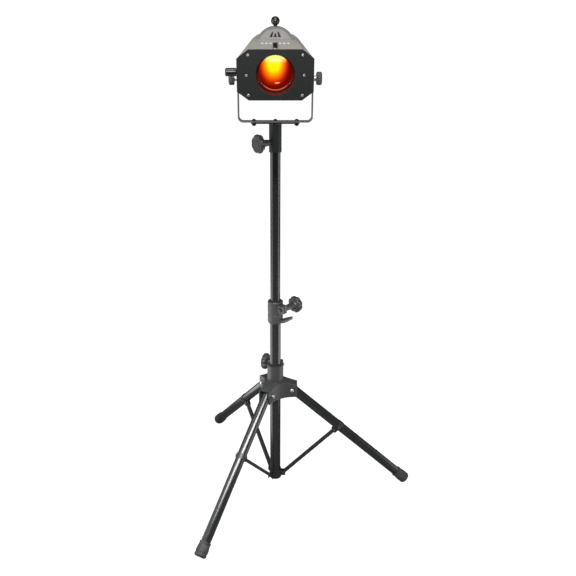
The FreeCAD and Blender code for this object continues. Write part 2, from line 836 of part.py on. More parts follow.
def yoke():
    """U-shaped flat strap with round arm ends."""
    body = new_body("yoke")
    half = cell("yoke_width") / 2
    wall = cell("yoke_thickness")
    low = cell("sleeve_top") + cell("adapter_thickness")
    high = cell("tilt_height") + cell("yoke_strap") / 2
    profile = outline(new_sketch(body, "XZ_Plane"), [
        (-half, low), (half, low), (half, high), (half - wall, high), (half - wall, low + wall),
        (-half + wall, low + wall), (-half + wall, high), (-half, high)])
    pad(body, profile, cell("yoke_strap"), midplane=True)

    def corner(x, z):
        return lambda e: (e.BoundBox.YLength > 30 and abs(abs(e.BoundBox.XMin) - x) < 0.01
                          and abs(e.BoundBox.ZMin - z) < 0.01)

    soften(body, cell("yoke_corner"), corner(number(half), number(low)))
    soften(body, cell("yoke_corner") - wall, corner(number(half - wall), number(low + wall)))
    soften(body, cell("yoke_strap") / 2 - 0.2,
           lambda e: abs(e.BoundBox.ZMin - number(high)) < 0.01 and e.BoundBox.XLength > 1)
    holes = new_sketch(body, "XY_Plane", lift=low + 10)
    for step in (-1, 0, 1):
        circle(holes, 4, step * cell("yoke_bolt_spacing"), 0)
    for step in (-1, 1):
        circle(holes, cell("yoke_spare_radius"), step * cell("yoke_spare_spacing"), 0)
    pocket(body, holes, 20)
    stud = circle(new_sketch(body, "YZ_Plane"), cell("tilt_stud_radius") + cell("pin_gap"), 0,
                  cell("tilt_height"))
    pocket(body, stud, midplane=True)
    return body


def yoke_bolts():
    """Domed bolts through yoke and adapter plate, each with its nut below."""
    pieces = []
    top = number(cell("sleeve_top") + cell("adapter_thickness") + cell("yoke_thickness"))
    grip = cell("adapter_thickness") + cell("yoke_thickness")
    for step in (-1, 0, 1):
        bolt = doc.addObject("PartDesign::Body", "yoke_bolt")
        profile = [(0, 6), (3, 6), (6, 3.5), (7, 1.2), (7, 0), (4, 0), (4, -grip)]
        if step == 0:
            profile += [(0, -grip)]
        else:
            profile += [(7.2, -grip), (7.2, -grip - 6.5), (4, -grip - 6.5), (3.4, -grip - 9),
                        (0, -grip - 9)]
        revolve(bolt, profile)
        bolt.Placement.Base = Vector(step * number(cell("yoke_bolt_spacing")), 0, top)
        pieces.append(bolt)
    return group_object("yoke_bolts", pieces)


def tilt_knob(name, hand):
    """Knurled tilt knob with stem and stud; local Z points outward from the yoke arm."""
    body = new_body(name)
    stud = cell("tilt_stud_radius")
    stem = cell("tilt_stem_length")
    rim = cell("tilt_knob_radius")
    top = stem + cell("tilt_knob_thickness")
    depth = 17
    revolve(body, [
        (0, -depth), (stud - 1, -depth), (stud, 1 - depth), (stud, 0.4), (11, 0.4), (11, 2.4),
        (8.5, 2.4), (8.5, stem - 2), (12, stem), (rim - 2, stem), (rim, stem + 2),
        (rim, top - 3), (rim - 3, top), (10, top), (8.5, top - 1.5), (0, top - 1.5)])
    flute = circle(new_sketch(body, "XY_Plane", lift=stem - 1), 1.5, rim + 0.3, 0)
    repeat_round(body, pocket(body, flute, cell("tilt_knob_thickness") + 5, reverse=True), 24)
    place(body, Vector(hand * number(cell("yoke_width")) / 2, 0, number(cell("tilt_height"))),
          along(Vector(hand, 0, 0)))
    return body


# ---------------------------------------------------------------- lamp head
def head_placement():
    nose = Rotation(Vector(1, 0, 0), number(cell("head_nose_down_angle")))
    lift = nose.multVec(Vector(0, 0, number(cell("axis_above_tilt"))))
    return Vector(0, 0, number(cell("tilt_height"))) + lift, nose


def in_head(thing, at=Vector(), turn=Rotation()):
    """Place a piece of the head: at and turn are in the head's own frame."""
    base, nose = head_placement()
    place(thing, base + nose.multVec(at), nose * turn)
    return thing


def octagon(width, height, chamfer_x, chamfer_z):
    half = width / 2
    rise = height / 2
    return [(-half, -rise + chamfer_z), (-half + chamfer_x, -rise), (half - chamfer_x, -rise),
            (half, -rise + chamfer_z), (half, rise - chamfer_z), (half - chamfer_x, rise),
            (-half + chamfer_x, rise), (-half, rise - chamfer_z)]


def plate_screw_points():
    corner_x = cell("plate_width") / 2 - 34.5
    corner_z = cell("plate_height") / 2 - 16
    side_x = cell("plate_width") / 2 - 29.5
    return [(x * corner_x, z * corner_z) for x in (-1, 1) for z in (-1, 1)] + [
        (-side_x, 0), (side_x, 0)]


def front_plate():
    body = new_body("front_plate")
    lift = cell("head_reach") - cell("plate_thickness")
    face = outline(new_sketch(body, "XZ_Plane", lift=lift), octagon(
        cell("plate_width"), cell("plate_height"), cell("plate_chamfer_x"),
        cell("plate_chamfer_z")))
    circle(face, cell("lens_opening_radius"))
    for x, z in plate_screw_points():
        circle(face, 2, x, z)
    pad(body, face, cell("plate_thickness"))
    soften(body, 3, lambda e: e.BoundBox.YLength > 2 and not isinstance(e.Curve, Part.Circle)
           and e.BoundBox.XLength < 0.01 and e.BoundBox.ZLength < 0.01)
    return in_head(body)


def screw_solid(name, head_radius, length):
    """Pan-head screw with a cross recess: local Z points out of the head."""
    screw = doc.addObject("PartDesign::Body", name)
    revolve(screw, [(0, -length), (2, -length), (2, 0), (head_radius, 0), (head_radius, 0.9),
                    (head_radius - 1.1, 2.1), (0, 2.4)])
    cross = new_sketch(screw, "XY_Plane", lift=5)
    long_arm = head_radius * 0.55
    outline(cross, [(-long_arm, -0.4), (-0.4, -0.4), (-0.4, -long_arm), (0.4, -long_arm),
                    (0.4, -0.4), (long_arm, -0.4), (long_arm, 0.4), (0.4, 0.4),
                    (0.4, long_arm), (-0.4, long_arm), (-0.4, 0.4), (-long_arm, 0.4)])
    pocket(screw, cross, 4)
    return screw


def casing_screws():
    """Six screws in the front plate and four in the rear panel."""
    pieces = []
    front = Rotation(UP, Vector(0, -1, 0))
    back = Rotation(UP, Vector(0, 1, 0))
    for x, z in plate_screw_points():
        screw = screw_solid("plate_screw", 4.2, cell("plate_thickness"))
        place(screw, Vector(number(x), -number(cell("head_reach")), number(z)), front)
        pieces.append(screw)
    rear_x = number(cell("rear_width")) / 2 - 12
    rear_z = number(cell("plate_height")) / 2 - 26
    for x in (-rear_x, rear_x):
        for z in (-rear_z, rear_z):
            screw = screw_solid("rear_screw", 3.6, 2)
            place(screw, Vector(x, rear_panel_y() + 2, z), back)
            pieces.append(screw)
    return in_head(group_object("casing_screws", pieces))


def shell_section(width, height, chamfer_x, chamfer_z, side, seam):
    """Half-octagon sheet section: side is +1 above the seam and -1 below it."""
    wall = cell("cover_wall")
    rise = side * height / 2
    low = side * (chamfer_z * -1)
    inner_x = chamfer_x - 0.6 * wall
    inner_z = side * (chamfer_z - 0.6 * wall)
    half = width / 2
    top = rise - side * wall
    return [(-half, seam), (-half, rise + low), (-half + chamfer_x, rise),
            (half - chamfer_x, rise), (half, rise + low), (half, seam), (half - wall, seam),
            (half - wall, top - inner_z), (half - wall - inner_x, top),
            (-half + wall + inner_x, top), (-half + wall, top - inner_z), (-half + wall, seam)]


def shell(name, side, seam):
    """Tapering folded-sheet shell lofted from the front plate to the rear panel."""
    body = new_body(name)
    start = cell("head_reach") - cell("plate_thickness")
    height = cell("plate_height") - 2
    front = outline(new_sketch(body, "XZ_Plane", lift=start), shell_section(
        cell("plate_width") - 2, height, cell("plate_chamfer_x"), cell("plate_chamfer_z"),
        side, seam))
    rear = outline(new_sketch(body, "XZ_Plane", lift=start - cell("cover_length")),
                   shell_section(cell("rear_width"), height, cell("rear_chamfer_x"),
                                 cell("rear_chamfer_z"), side, seam))
    loft = body.newObject("PartDesign::AdditiveLoft", name + "_loft")
    loft.Profile = front
    loft.Sections = [rear]
    loft.Ruled = True
    return body


def side_vents(body, low, high):
    """A row of upright slots through both side walls beside the light engine."""
    slot = rectangle(new_sketch(body, "YZ_Plane"), 104, 108, low, high)
    repeat_line(body, pocket(body, slot, midplane=True), 9, 80, axis="Y_Axis")


def upper_cover():
    seam = -cell("seam_drop")
    body = shell("upper_cover", 1, seam)
    top = cell("plate_height") / 2
    lever = cell("focus_lever_back")
    focus_slot = rectangle(new_sketch(body, "XY_Plane", lift=top + 10), -4, 4,
                           -lever - 7, -lever + 58)
    pocket(body, focus_slot, 30)
    hood_front = cell("hood_front")
    wheel_slot = rectangle(new_sketch(body, "XY_Plane", lift=top + 10), -56, 56,
                           hood_front + 5, hood_front + cell("hood_depth") - 5)
    pocket(body, wheel_slot, 30)
    grip = cell("front_lens_back")
    grip_slot = rectangle(new_sketch(body, "YZ_Plane"), -grip - 17, -grip + 57, -5.5, 5.5)
    pocket(body, grip_slot, 160)
    side_vents(body, as_size(-8), as_size(34))
    return in_head(body)


def lower_tray():
    seam = -cell("seam_drop") - 0.3
    body = shell("lower_tray", -1, seam)
    hole = circle(new_sketch(body, "YZ_Plane"), cell("tilt_stud_radius") + 1, 0,
                  -cell("axis_above_tilt"))
    pocket(body, hole, midplane=True)
    side_vents(body, as_size(-54), as_size(-30))
    return in_head(body)


def wall_x(y):
    """Half width of the head's shell at a place along its length."""
    start = number(cell("plate_thickness")) - number(cell("head_reach"))
    front = number(cell("plate_width")) / 2 - 1
    rear = number(cell("rear_width")) / 2
    return front + (rear - front) * (y - start) / number(cell("cover_length"))


def rear_panel_y():
    return (number(cell("plate_thickness")) - number(cell("head_reach"))
            + number(cell("cover_length")))


def pivot_bosses():
    """Threaded spacers between the shell and the yoke's arms."""
    pieces = []
    outer = number(cell("yoke_width")) / 2 - number(cell("yoke_thickness")) - 0.3
    inner = wall_x(-12) + 0.1
    stud = cell("tilt_stud_radius") + cell("pin_gap")
    for hand in (-1, 1):
        boss = doc.addObject("PartDesign::Body", "pivot_boss")
        revolve(boss, [(stud, inner), (13, inner), (13, inner + 3), (10, inner + 4),
                       (10, outer - 1), (9, outer), (stud, outer)])
        place(boss, Vector(0, 0, -number(cell("axis_above_tilt"))), along(Vector(hand, 0, 0)))
        pieces.append(boss)
    return in_head(group_object("pivot_bosses", pieces))


def lens_shroud():
    """Short tube behind the front plate's opening."""
    body = new_body("lens_shroud")
    inner = cell("lens_opening_radius")
    length = cell("shroud_length")
    revolve(body, [(inner, 0), (inner + 6, 0), (inner + 6, 1.5), (inner + 1.5, 1.5),
                   (inner + 1.5, length), (inner, length)])
    start = cell("plate_thickness") - cell("head_reach")
    return in_head(body, Vector(0, number(start), 0), Rotation(UP, Vector(0, 1, 0)))


def lens(name, radius, edge, crown, back):
    """Plano-convex glass: the crown faces forward and the flat side faces the light."""
    body = new_body(name)
    facets = 12
    curve = (number(radius) ** 2 + crown ** 2) / (2 * crown)
    profile = [(0, -edge / 2), (radius, -edge / 2), (radius, edge / 2)]
    for i in range(facets - 1, 0, -1):
        at = number(radius) * i / facets
        profile.append((radius * i / facets, edge / 2 + math.sqrt(curve ** 2 - at ** 2)
                        - (curve - crown)))
    profile.append((0, edge / 2 + crown))
    revolve(body, profile)
    return in_head(body, Vector(0, -number(back), 0), Rotation(UP, Vector(0, -1, 0)))


def carriage(name, lens_radius, outer, edge):
    """Lens holder: a ring with two arms down to bushes that ride on the guide rods."""
    body = new_body(name)
    rod_x = cell("rod_x")
    rod_z = cell("rod_z")
    rod_hole = cell("rod_radius") + 0.3
    half = edge / 2 + 2
    plan = circle(new_sketch(body, "XZ_Plane"), outer)
    pad(body, plan, 2 * half, midplane=True)
    for hand in (-1, 1):
        root = (outer - 6) / math.hypot(number(rod_x), number(rod_z))
        arm = outline(new_sketch(body, "XZ_Plane"), [
            (hand * (rod_x * root - 5), rod_z * root - 6), (hand * (rod_x - 5), rod_z - 6),
            (hand * (rod_x + 5), rod_z + 6), (hand * (rod_x * root + 5), rod_z * root + 6)])
        pad(body, arm, 2 * half, midplane=True)
        bush_ring = circle(new_sketch(body, "XZ_Plane"), 9, hand * rod_x, rod_z)
        pad(body, bush_ring, 22, midplane=True)
    pocket(body, circle(new_sketch(body, "XZ_Plane"), lens_radius - 2.5), midplane=True)
    seat = circle(new_sketch(body, "XZ_Plane", lift=-edge / 2), lens_radius)
    pocket(body, seat, 30, reverse=True)
    rods = new_sketch(body, "XZ_Plane")
    for hand in (-1, 1):
        circle(rods, rod_hole, hand * rod_x, rod_z)
    pocket(body, rods, midplane=True)
    return body


def zoom_carriage():
    radius = cell("front_lens_radius")
    edge = cell("lens_edge")
    body = carriage("zoom_carriage", radius, radius + 5.5, edge)
    shaft = circle(new_sketch(body, "YZ_Plane", lift=-radius - 3), 4)
    pad(body, shaft, cell("zoom_grip_start") - radius - 3, reverse=True)
    return in_head(body, Vector(0, -number(cell("front_lens_back")), 0))


def lens_ring():
    """Retaining ring that holds the front lens in its carriage."""
    body = new_body("lens_ring")
    radius = cell("front_lens_radius")
    ring = circle(new_sketch(body, "XZ_Plane"), radius + 4.5)
    circle(ring, radius - 2.5)
    for x, z in ring_screw_points():
        circle(ring, 1.2, x, z)
    pad(body, ring, 1.5)
    lift = number(cell("front_lens_back")) + number(cell("lens_edge")) / 2 + 2
    return in_head(body, Vector(0, -lift, 0))


def ring_screw_points():
    reach = number(cell("front_lens_radius")) + 1.2
    return [(reach * math.sin(math.radians(a)), reach * math.cos(math.radians(a)))
            for a in (-128, 128)]


def ring_screws():
    pieces = []
    front = number(cell("front_lens_back")) + number(cell("lens_edge")) / 2 + 3.5
    for x, z in ring_screw_points():
        screw = doc.addObject("PartDesign::Body", "ring_screw")
        revolve(screw, [(0, -1.5), (1.2, -1.5), (1.2, 0), (2.4, 0), (2.4, 0.8), (1.6, 1.5),
                        (0, 1.6)])
        place(screw, Vector(x, -front, z), Rotation(UP, Vector(0, -1, 0)))
        pieces.append(screw)
    return in_head(group_object("ring_screws", pieces))


def zoom_grip():
    """Moulded hand grip on the zoom shaft, outside the slot in the side wall."""
    body = new_body("zoom_grip")
    rim = cell("zoom_grip_radius")
    length = cell("zoom_grip_length")
    revolve(body, [(0, 0), (rim - 3, 0), (rim, 2), (rim, length - 3), (rim - 1, length - 1),
                   (rim - 3, length), (0, length)])
    start = cell("zoom_grip_start")
    return in_head(body, Vector(-number(start), -number(cell("front_lens_back")), 0),
                   along(Vector(-1, 0, 0)))


def focus_carriage():
    """Second lens holder, with the arm that runs forward to the lever on the top."""
    radius = cell("focus_lens_radius")
    edge = cell("lens_edge")
    body = carriage("focus_carriage", radius, radius + 6, edge)
    back = cell("focus_lens_back")
    reach = cell("focus_lever_back") - back
    post = rectangle(new_sketch(body, "XZ_Plane"), -5, 5, radius + 2, 67.5)
    pad(body, post, 6, midplane=True)
    arm = rectangle(new_sketch(body, "YZ_Plane"), -reach - 5, 3, 64, 67.5)
    pad(body, arm, 10, midplane=True)
    stem = rectangle(new_sketch(body, "XY_Plane", lift=66), -3, 3, -reach - 5, -reach + 5)
    pad(body, stem, 9)
    return in_head(body, Vector(0, -number(back), 0))


def focus_lever():
    """Finger block on the focus arm, above the cover."""
    body = new_body("focus_lever")
    half = cell("focus_lever_width") / 2
    foot = 75
    block = rectangle(new_sketch(body, "XY_Plane", lift=foot), -half, half, -8, 8)
    pad(body, block, cell("focus_lever_height"))
    dress(body, "Chamfer", 2, lambda e: e.BoundBox.ZMin > foot + 8)
    return in_head(body, Vector(0, -number(cell("focus_lever_back")), 0))


def guide_rods():
    pieces = []
    start = cell("head_reach") - cell("plate_thickness") - 4
    for hand in (-1, 1):
        rod = doc.addObject("PartDesign::Body", "guide_rod")
        length = start + cell("hood_front") - 4
        pad(rod, circle(new_sketch(rod, "XY_Plane"), cell("rod_radius")), length)
        place(rod, Vector(hand * number(cell("rod_x")), -number(start),
                          number(cell("rod_z"))), along(Vector(0, 1, 0)))
        pieces.append(rod)
    return in_head(group_object("guide_rods", pieces))


def gate_plate():
    """Bulkhead with the gate aperture; it holds the rods' ends and the wheel's axle."""
    body = new_body("gate_plate")
    y = number(cell("hood_front")) - 4
    width = 2 * wall_x(y + 4) - 8
    face = outline(new_sketch(body, "XZ_Plane"), octagon(
        as_size(width), cell("plate_height") - 8, as_size(24), as_size(18)))
    circle(face, cell("gate_radius"))
    pad(body, face, 3, reverse=True)
    axle = circle(new_sketch(body, "XZ_Plane"), 4, 0, cell("wheel_height"))
    pad(body, axle, 18, reverse=True)
    flange = circle(new_sketch(body, "XZ_Plane"), 7, 0, cell("wheel_height"))
    pad(body, flange, 10, reverse=True)
    return in_head(body, Vector(0, y, 0))


def hood_arc(name, radius, start, depth, height):
    return cylinder_object(name, radius, depth, (0, start, height), Vector(0, 1, 0))


def hood_louvre(front, foot, hand, rise):
    """Upright tapering slot cutter; the outer two lean in towards the middle one."""
    louvre = doc.addObject("Part::Wedge", "hood_louvre")
    middle = hand * 14.5
    top = hand * 8.5
    louvre.Xmin = middle - 4.5
    louvre.Xmax = middle + 4.5
    louvre.X2min = top - 1.8
    louvre.X2max = top + 1.8
    louvre.Ymin = 0
    louvre.Ymax = rise
    louvre.Zmin = louvre.Z2min = -6
    louvre.Zmax = louvre.Z2max = 6
    louvre.Placement = FreeCAD.Placement(Vector(0, number(front), number(foot) + 5),
                                         Rotation(Vector(1, 0, 0), 90))
    return louvre


def wheel_hood():
    """Half-round housing over the colour wheel, with a raised rim round its front face."""
    front = cell("hood_front")
    depth = cell("hood_depth")
    radius = cell("hood_radius")
    wall = cell("hood_wall")
    foot = cell("hood_foot")
    centre = cell("hood_centre")
    top = centre + radius
    drum = hood_arc("hood_drum", radius, front, depth, centre)
    above = box_object("hood_above", -radius, radius, front, front + depth, foot, top)
    outside = common_object("hood_outside", drum, above)
    flange = box_object("hood_flange", -radius + 2.5, radius - 2.5, front - 3,
                        front + depth + 3, foot - 1.2, foot + 0.3)
    solid = fuse_object("hood_solid", [outside, flange])
    hollow = hood_arc("hood_hollow", radius - wall, front + wall + 1, depth - 2 * wall - 1,
                      centre)
    face = hood_arc("hood_face", radius - 5, front - 0.6, 1.6, centre)
    face_above = box_object("hood_face_above", -radius, radius, front - 1, front + 1.2,
                            foot + 3, top)
    recess = common_object("hood_recess", face, face_above)
    axle = cell("wheel_height")
    reach = cell("lever_reach")
    sweep = number(cell("lever_slot_angle"))
    slot_start = front + depth / 2 - 4.5
    slot_outer = cylinder_object("hood_slot_outer", reach + 1.5, 9, (0, slot_start, axle),
                                 Vector(0, 1, 0), sweep)
    slot_outer.Placement.Rotation = (Rotation(Vector(0, 1, 0), -sweep / 2)
                                     * Rotation(Vector(0, 0, 1), Vector(0, 1, 0))
                                     * Rotation(UP, -90))
    slot_inner = hood_arc("hood_slot_inner", reach - 7.5, slot_start, 9, axle)
    lever_slot = cut_object("hood_lever_slot", slot_outer, [slot_inner])
    louvres = [hood_louvre(front, foot, hand, rise) for hand, rise in ((-1, 17), (0, 12), (1, 17))]
    hood = cut_object("wheel_hood_body", solid, [hollow, recess, lever_slot] + louvres)
    return in_head(keep("wheel_hood", hood))


def window_points():
    """Centres of the wheel's five windows, fanned about the one in the beam."""
    reach = number(cell("wheel_height"))
    step = number(cell("window_spacing_angle"))
    return [(reach * math.sin(math.radians(step * i)), -reach * math.cos(math.radians(step * i)))
            for i in range(-2, 3)]


def wheel_place():
    return Vector(0, number(cell("hood_front")) + number(cell("hood_depth")) / 2,
                  number(cell("wheel_height")))


def colour_wheel():
    body = new_body("colour_wheel")
    disc = circle(new_sketch(body, "XZ_Plane"), cell("wheel_radius"))
    circle(disc, 4.3)
    for x, z in window_points():
        circle(disc, cell("window_radius"), x, z)
    pad(body, disc, cell("wheel_thickness"), midplane=True)
    return in_head(body, wheel_place())


def colour_filters():
    """Four dichroic glasses; the fifth window stays open for white light."""
    pieces = []
    for x, z in window_points()[:4]:
        glass = doc.addObject("PartDesign::Body", "filter_glass")
        rim = cell("window_radius") - 0.1
        revolve(glass, [(0, 0), (rim, 0), (rim, 1.2), (0, 1.2)])
        place(glass, Vector(x, 0.6, z), Rotation(UP, Vector(0, -1, 0)))
        pieces.append(glass)
    return in_head(group_object("colour_filters", pieces), wheel_place())


def wheel_lever():
    """Flat lever on the wheel's rim that passes the hood's slot and carries the ball."""
    body = new_body("wheel_lever")
    rim = cell("wheel_radius")
    thick = cell("wheel_thickness")
    blade = rectangle(new_sketch(body, "XZ_Plane", lift=thick / 2), -5, 5, rim - 12,
                      cell("lever_reach"))
    pad(body, blade, 1.5)
    return in_head(body, wheel_place())


def ball_knob():
    """Moulded ball with a tapered neck, pressed on the lever's end."""
    body = new_body("ball_knob")
    radius = number(cell("ball_radius"))
    neck = 4.6
    foot = number(cell("lever_reach") - cell("ball_height")) + 0.1
    profile = [(0, foot), (6.2, foot), (5.0, foot * 0.9)]
    steps = 16
    start = -math.acos(neck / radius)
    for i in range(steps + 1):
        angle = start + (math.pi / 2 - start) * i / steps
        profile.append((radius * math.cos(angle), radius * math.sin(angle)))
    profile[-1] = (0, radius)
    revolve(body, profile)
    return in_head(body, wheel_place() + Vector(0, 0, number(cell("ball_height"))))


def led_module():
    """Light engine: a copper slug with a stepped emitter dome that faces the gate."""
    body = new_body("led_module")
    pad(body, outline(new_sketch(body, "XY_Plane"), [(-24, -24), (24, -24), (24, 24),
                                                     (-24, 24)]), 5)
    revolve(body, [(0, 5), (17, 5), (17, 8), (15, 9), (9, 12), (0, 12)])
    return in_head(body, Vector(0, number(cell("led_plane")) + 5, 0),
                   Rotation(UP, Vector(0, -1, 0)))


def heat_sink():
    body = new_body("heat_sink")
    half = cell("sink_half_width")
    pad(body, rectangle(new_sketch(body, "XY_Plane"), -half, half, -half, half), 8)
    fin = rectangle(new_sketch(body, "XY_Plane", lift=8), -half, -half + 2, -half, half)
    count = int(number(cell("sink_fin_count")))
    repeat_line(body, pad(body, fin, 42), count, 2 * half - 2)
    return in_head(body, Vector(0, number(cell("led_plane")) + 5.2, 0),
                   Rotation(Vector(1, 0, 0), -90))


def fan_frame():
    body = new_body("fan_frame")
    half = cell("fan_radius") + 4
    ring = rectangle(new_sketch(body, "XZ_Plane"), -half, half, -half, half)
    circle(ring, cell("fan_radius") + 1)
    pad(body, ring, 15, midplane=True)
    spoke = rectangle(new_sketch(body, "XZ_Plane", lift=-7.5), -2, 2, 10, half - 3)
    repeat_round(body, pad(body, spoke, 2), 4, axis="Y_Axis")
    hub = circle(new_sketch(body, "XZ_Plane", lift=-7.5), 13)
    pad(body, hub, 2)
    return in_head(body, Vector(0, number(cell("fan_plane")), 0))


def fan_rotor():
    body = new_body("fan_rotor")
    pad(body, circle(new_sketch(body, "XZ_Plane", lift=-4.5), 13), 11)
    blade = outline(new_sketch(body, "XY_Plane", lift=12), [(-7, -4.5), (-5.4, -4.5),
                                                            (7, 5.5), (5.4, 5.5)])
    length = cell("fan_radius") - 13
    repeat_round(body, pad(body, blade, length), 7, axis="Y_Axis")
    return in_head(body, Vector(0, number(cell("fan_plane")), 0))


def rear_panel():
    """Panel with vent slots over the fan and openings for inlet, switch and dimmer."""
    body = new_body("rear_panel")
    face = outline(new_sketch(body, "XZ_Plane", lift=-rear_panel_y()), octagon(
        cell("rear_width"), cell("plate_height") - 2, cell("rear_chamfer_x"),
        cell("rear_chamfer_z")))
    for row in range(7):
        low = 6 + row * 7
        half = 30 - abs(row - 3) * 3
        rectangle(face, -half, half, low, low + 3.4)
    rectangle(face, -40, -12, -44, -20)
    rectangle(face, -0.6, 18.6, -38.1, -25.9)
    circle(face, 3.5, 42, -32)
    rear_x = cell("rear_width") / 2 - 12
    rear_z = cell("plate_height") / 2 - 26
    for x in (-rear_x, rear_x):
        for z in (-rear_z, rear_z):
            circle(face, 2, x, z)
    pad(body, face, 2, reverse=True)
    return in_head(body)


def power_inlet():
    """Recessed three-pin inlet in the rear panel."""
    body = new_body("power_inlet")
    pad(body, rectangle(new_sketch(body, "XZ_Plane"), -14, 14, -12, 12), 20)
    pad(body, rectangle(new_sketch(body, "XZ_Plane"), -18, 18, -15, 15), 3, reverse=True)
    recess = outline(new_sketch(body, "XZ_Plane", lift=-5), [
        (-11, -8), (11, -8), (11, 3), (7, 8), (-7, 8), (-11, 3)])
    pocket(body, recess, 20, reverse=True)
    for x, z in ((-6, -3), (6, -3), (0, 3)):
        pin = rectangle(new_sketch(body, "XZ_Plane", lift=16), x - 1, x + 1, z - 2, z + 2)
        pad(body, pin, 15, reverse=True)
    return in_head(body, Vector(-26, rear_panel_y() + 2, -32))


def rocker_switch():
    """Rocker with its pivot on the panel's face; it leans 10 degrees each way."""
    body = new_body("rocker_switch")
    tilt = math.tan(math.radians(10))
    half = 9
    rise = 1.8 + half * tilt
    side = outline(new_sketch(body, "XY_Plane"), [
        (-half, rise), (0, 1.4), (half, rise), (half - 2.5, -6), (-half + 2.5, -6)])
    pad(body, side, 11.4, midplane=True)
    return in_head(body, Vector(9, rear_panel_y() + 2, -32), Rotation(UP, -10))


def dimmer_knob():
    body = new_body("dimmer_knob")
    revolve(body, [(0, -6), (3, -6), (3, 2.4), (10, 2.4), (10, 4), (8.5, 6), (7.5, 17),
                   (6.5, 18), (0, 18)])
    mark = rectangle(new_sketch(body, "XY_Plane", lift=20), 2, 9, -0.6, 0.6)
    pocket(body, mark, 3)
    return in_head(body, Vector(42, rear_panel_y(), -32), Rotation(UP, Vector(0, 1, 0)))


def rear_handle():
    """Bent rod handle across the rear panel's foot."""
    radius = 5
    half = 46
    reach = 34
    bend = 14
    start = rear_panel_y() + 2
    height = -58
    corner = bend * (1 - math.sqrt(0.5))
    left = Part.LineSegment(Vector(-half, start, height),
                            Vector(-half, start + reach - bend, height))
    first = Part.Arc(Vector(-half, start + reach - bend, height),
                     Vector(-half + corner, start + reach - corner, height),
                     Vector(-half + bend, start + reach, height))
    across = Part.LineSegment(Vector(-half + bend, start + reach, height),
                              Vector(half - bend, start + reach, height))
    second = Part.Arc(Vector(half - bend, start + reach, height),
                      Vector(half - corner, start + reach - corner, height),
                      Vector(half, start + reach - bend, height))
    right = Part.LineSegment(Vector(half, start + reach - bend, height),
                             Vector(half, start, height))
    path = Part.Wire([piece.toShape() for piece in (left, first, across, second, right)])
    section = Part.Wire(Part.makeCircle(radius, Vector(-half, start, height),
                                        Vector(0, 1, 0)))
    handle = doc.addObject("Part::Feature", "rear_handle")
    handle.Shape = path.makePipeShell([section], True, True)
    keep("rear_handle", handle)
    return in_head(handle)


def driver_board():
    """Driver circuit board on the tray's floor, under the light engine."""
    body = new_body("driver_board")
    pad(body, rectangle(new_sketch(body, "XY_Plane"), -40, 40, 98, 196), 1.6)
    for x, y, wide, deep, tall in ((-20, 115, 22, 26, 12), (16, 112, 30, 18, 9),
                                   (-22, 160, 12, 34, 10), (14, 160, 24, 24, 12)):
        part = rectangle(new_sketch(body, "XY_Plane", lift=1.6), x - wide / 2, x + wide / 2,
                         y - deep / 2, y + deep / 2)
        pad(body, part, tall)
    return in_head(body, Vector(0, 0, -68))


# ---------------------------------------------------------------- assembly
def make_stand():
    hub_casting()
    hub_clamp = make_clamp("hub", "hub_clamp_azimuth", "hub_clamp_reach", "hub_clamp_height",
                           32)
    group_object("hub_bolts", pivot_bolts() + [hub_clamp])
    for side in LEG_AZIMUTHS:
        make_leg(side)
    tube("lower_tube", cell("lower_tube_radius"), cell("lower_tube_foot"),
         cell("lower_tube_top"))
    foot_bracket()
    bracket_bolts()
    mast_collar()
    keep("collar_clamp_bolt", make_clamp("collar", "collar_clamp_azimuth",
                                         "collar_clamp_reach", "collar_clamp_height", 46))
    tube("upper_tube", cell("upper_tube_radius"), cell("upper_tube_foot"),
         cell("upper_tube_top"))
    bore = cell("lower_tube_radius") - cell("tube_wall")
    bush("mast_bush", bore, cell("upper_tube_radius") + cell("sliding_gap"),
         cell("lower_tube_top") - cell("bush_length"))
    mast_sleeve()
    azimuth = number(cell("sleeve_boss_azimuth"))
    knob_start = number(cell("sleeve_radius")) + 8
    seat = heading(azimuth, knob_start, cell("sleeve_boss_height"))
    screw = knob_start - number(cell("upper_tube_radius")) - 0.4
    place(star_knob("sleeve_knob", 30, 0, screw), seat, along(heading(azimuth)))
    yoke()
    yoke_bolts()
    tilt_knob("tilt_knob_left", -1)
    tilt_knob("tilt_knob_right", 1)


def make_head():
    front_plate()
    casing_screws()
    upper_cover()
    lower_tray()
    rear_panel()
    pivot_bosses()
    lens_shroud()
    lens("front_lens", cell("front_lens_radius"), cell("lens_edge"),
         number(cell("lens_crown")), cell("front_lens_back"))
    zoom_carriage()
    lens_ring()
    ring_screws()
    zoom_grip()
    lens("focus_lens", cell("focus_lens_radius"), cell("lens_edge"), 6.0,
         cell("focus_lens_back"))
    focus_carriage()
    focus_lever()
    guide_rods()
    gate_plate()
    wheel_hood()
    colour_wheel()
    colour_filters()
    wheel_lever()
    ball_knob()
    led_module()
    heat_sink()
    fan_frame()
    fan_rotor()
    power_inlet()
    rocker_switch()
    dimmer_knob()
    rear_handle()
    driver_board()


def check_document():
    problems = [item.Name for item in doc.Objects
                if "Invalid" in item.State or "Error" in item.State]
    problems += [name for name, thing in NODES.items()
                 if thing.Shape.isNull() or not thing.Shape.isValid() or not thing.Shape.Solids]
    if problems:
        raise RuntimeError("failed objects: " + ", ".join(problems))


make_stand()
make_head()
doc.recompute()
check_document()
os.makedirs("parts", exist_ok=True)
for node, thing in NODES.items():
    thing.Shape.exportStep(f"parts/{node}.step")
    print(f"{node}: {len(thing.Shape.Solids)} solid(s), {thing.Shape.Volume / 1000:.1f} cm3")
print(len(NODES), "nodes")
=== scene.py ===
"""Looks of a follow spot on a folding tripod stand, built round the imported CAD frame.

Lengths are in metres. Pieces are placed from the frame: node boxes, joint positions and joint axes.
"""

import json
import math

import bmesh
import bpy
import numpy as np
from mathutils import Matrix, Vector


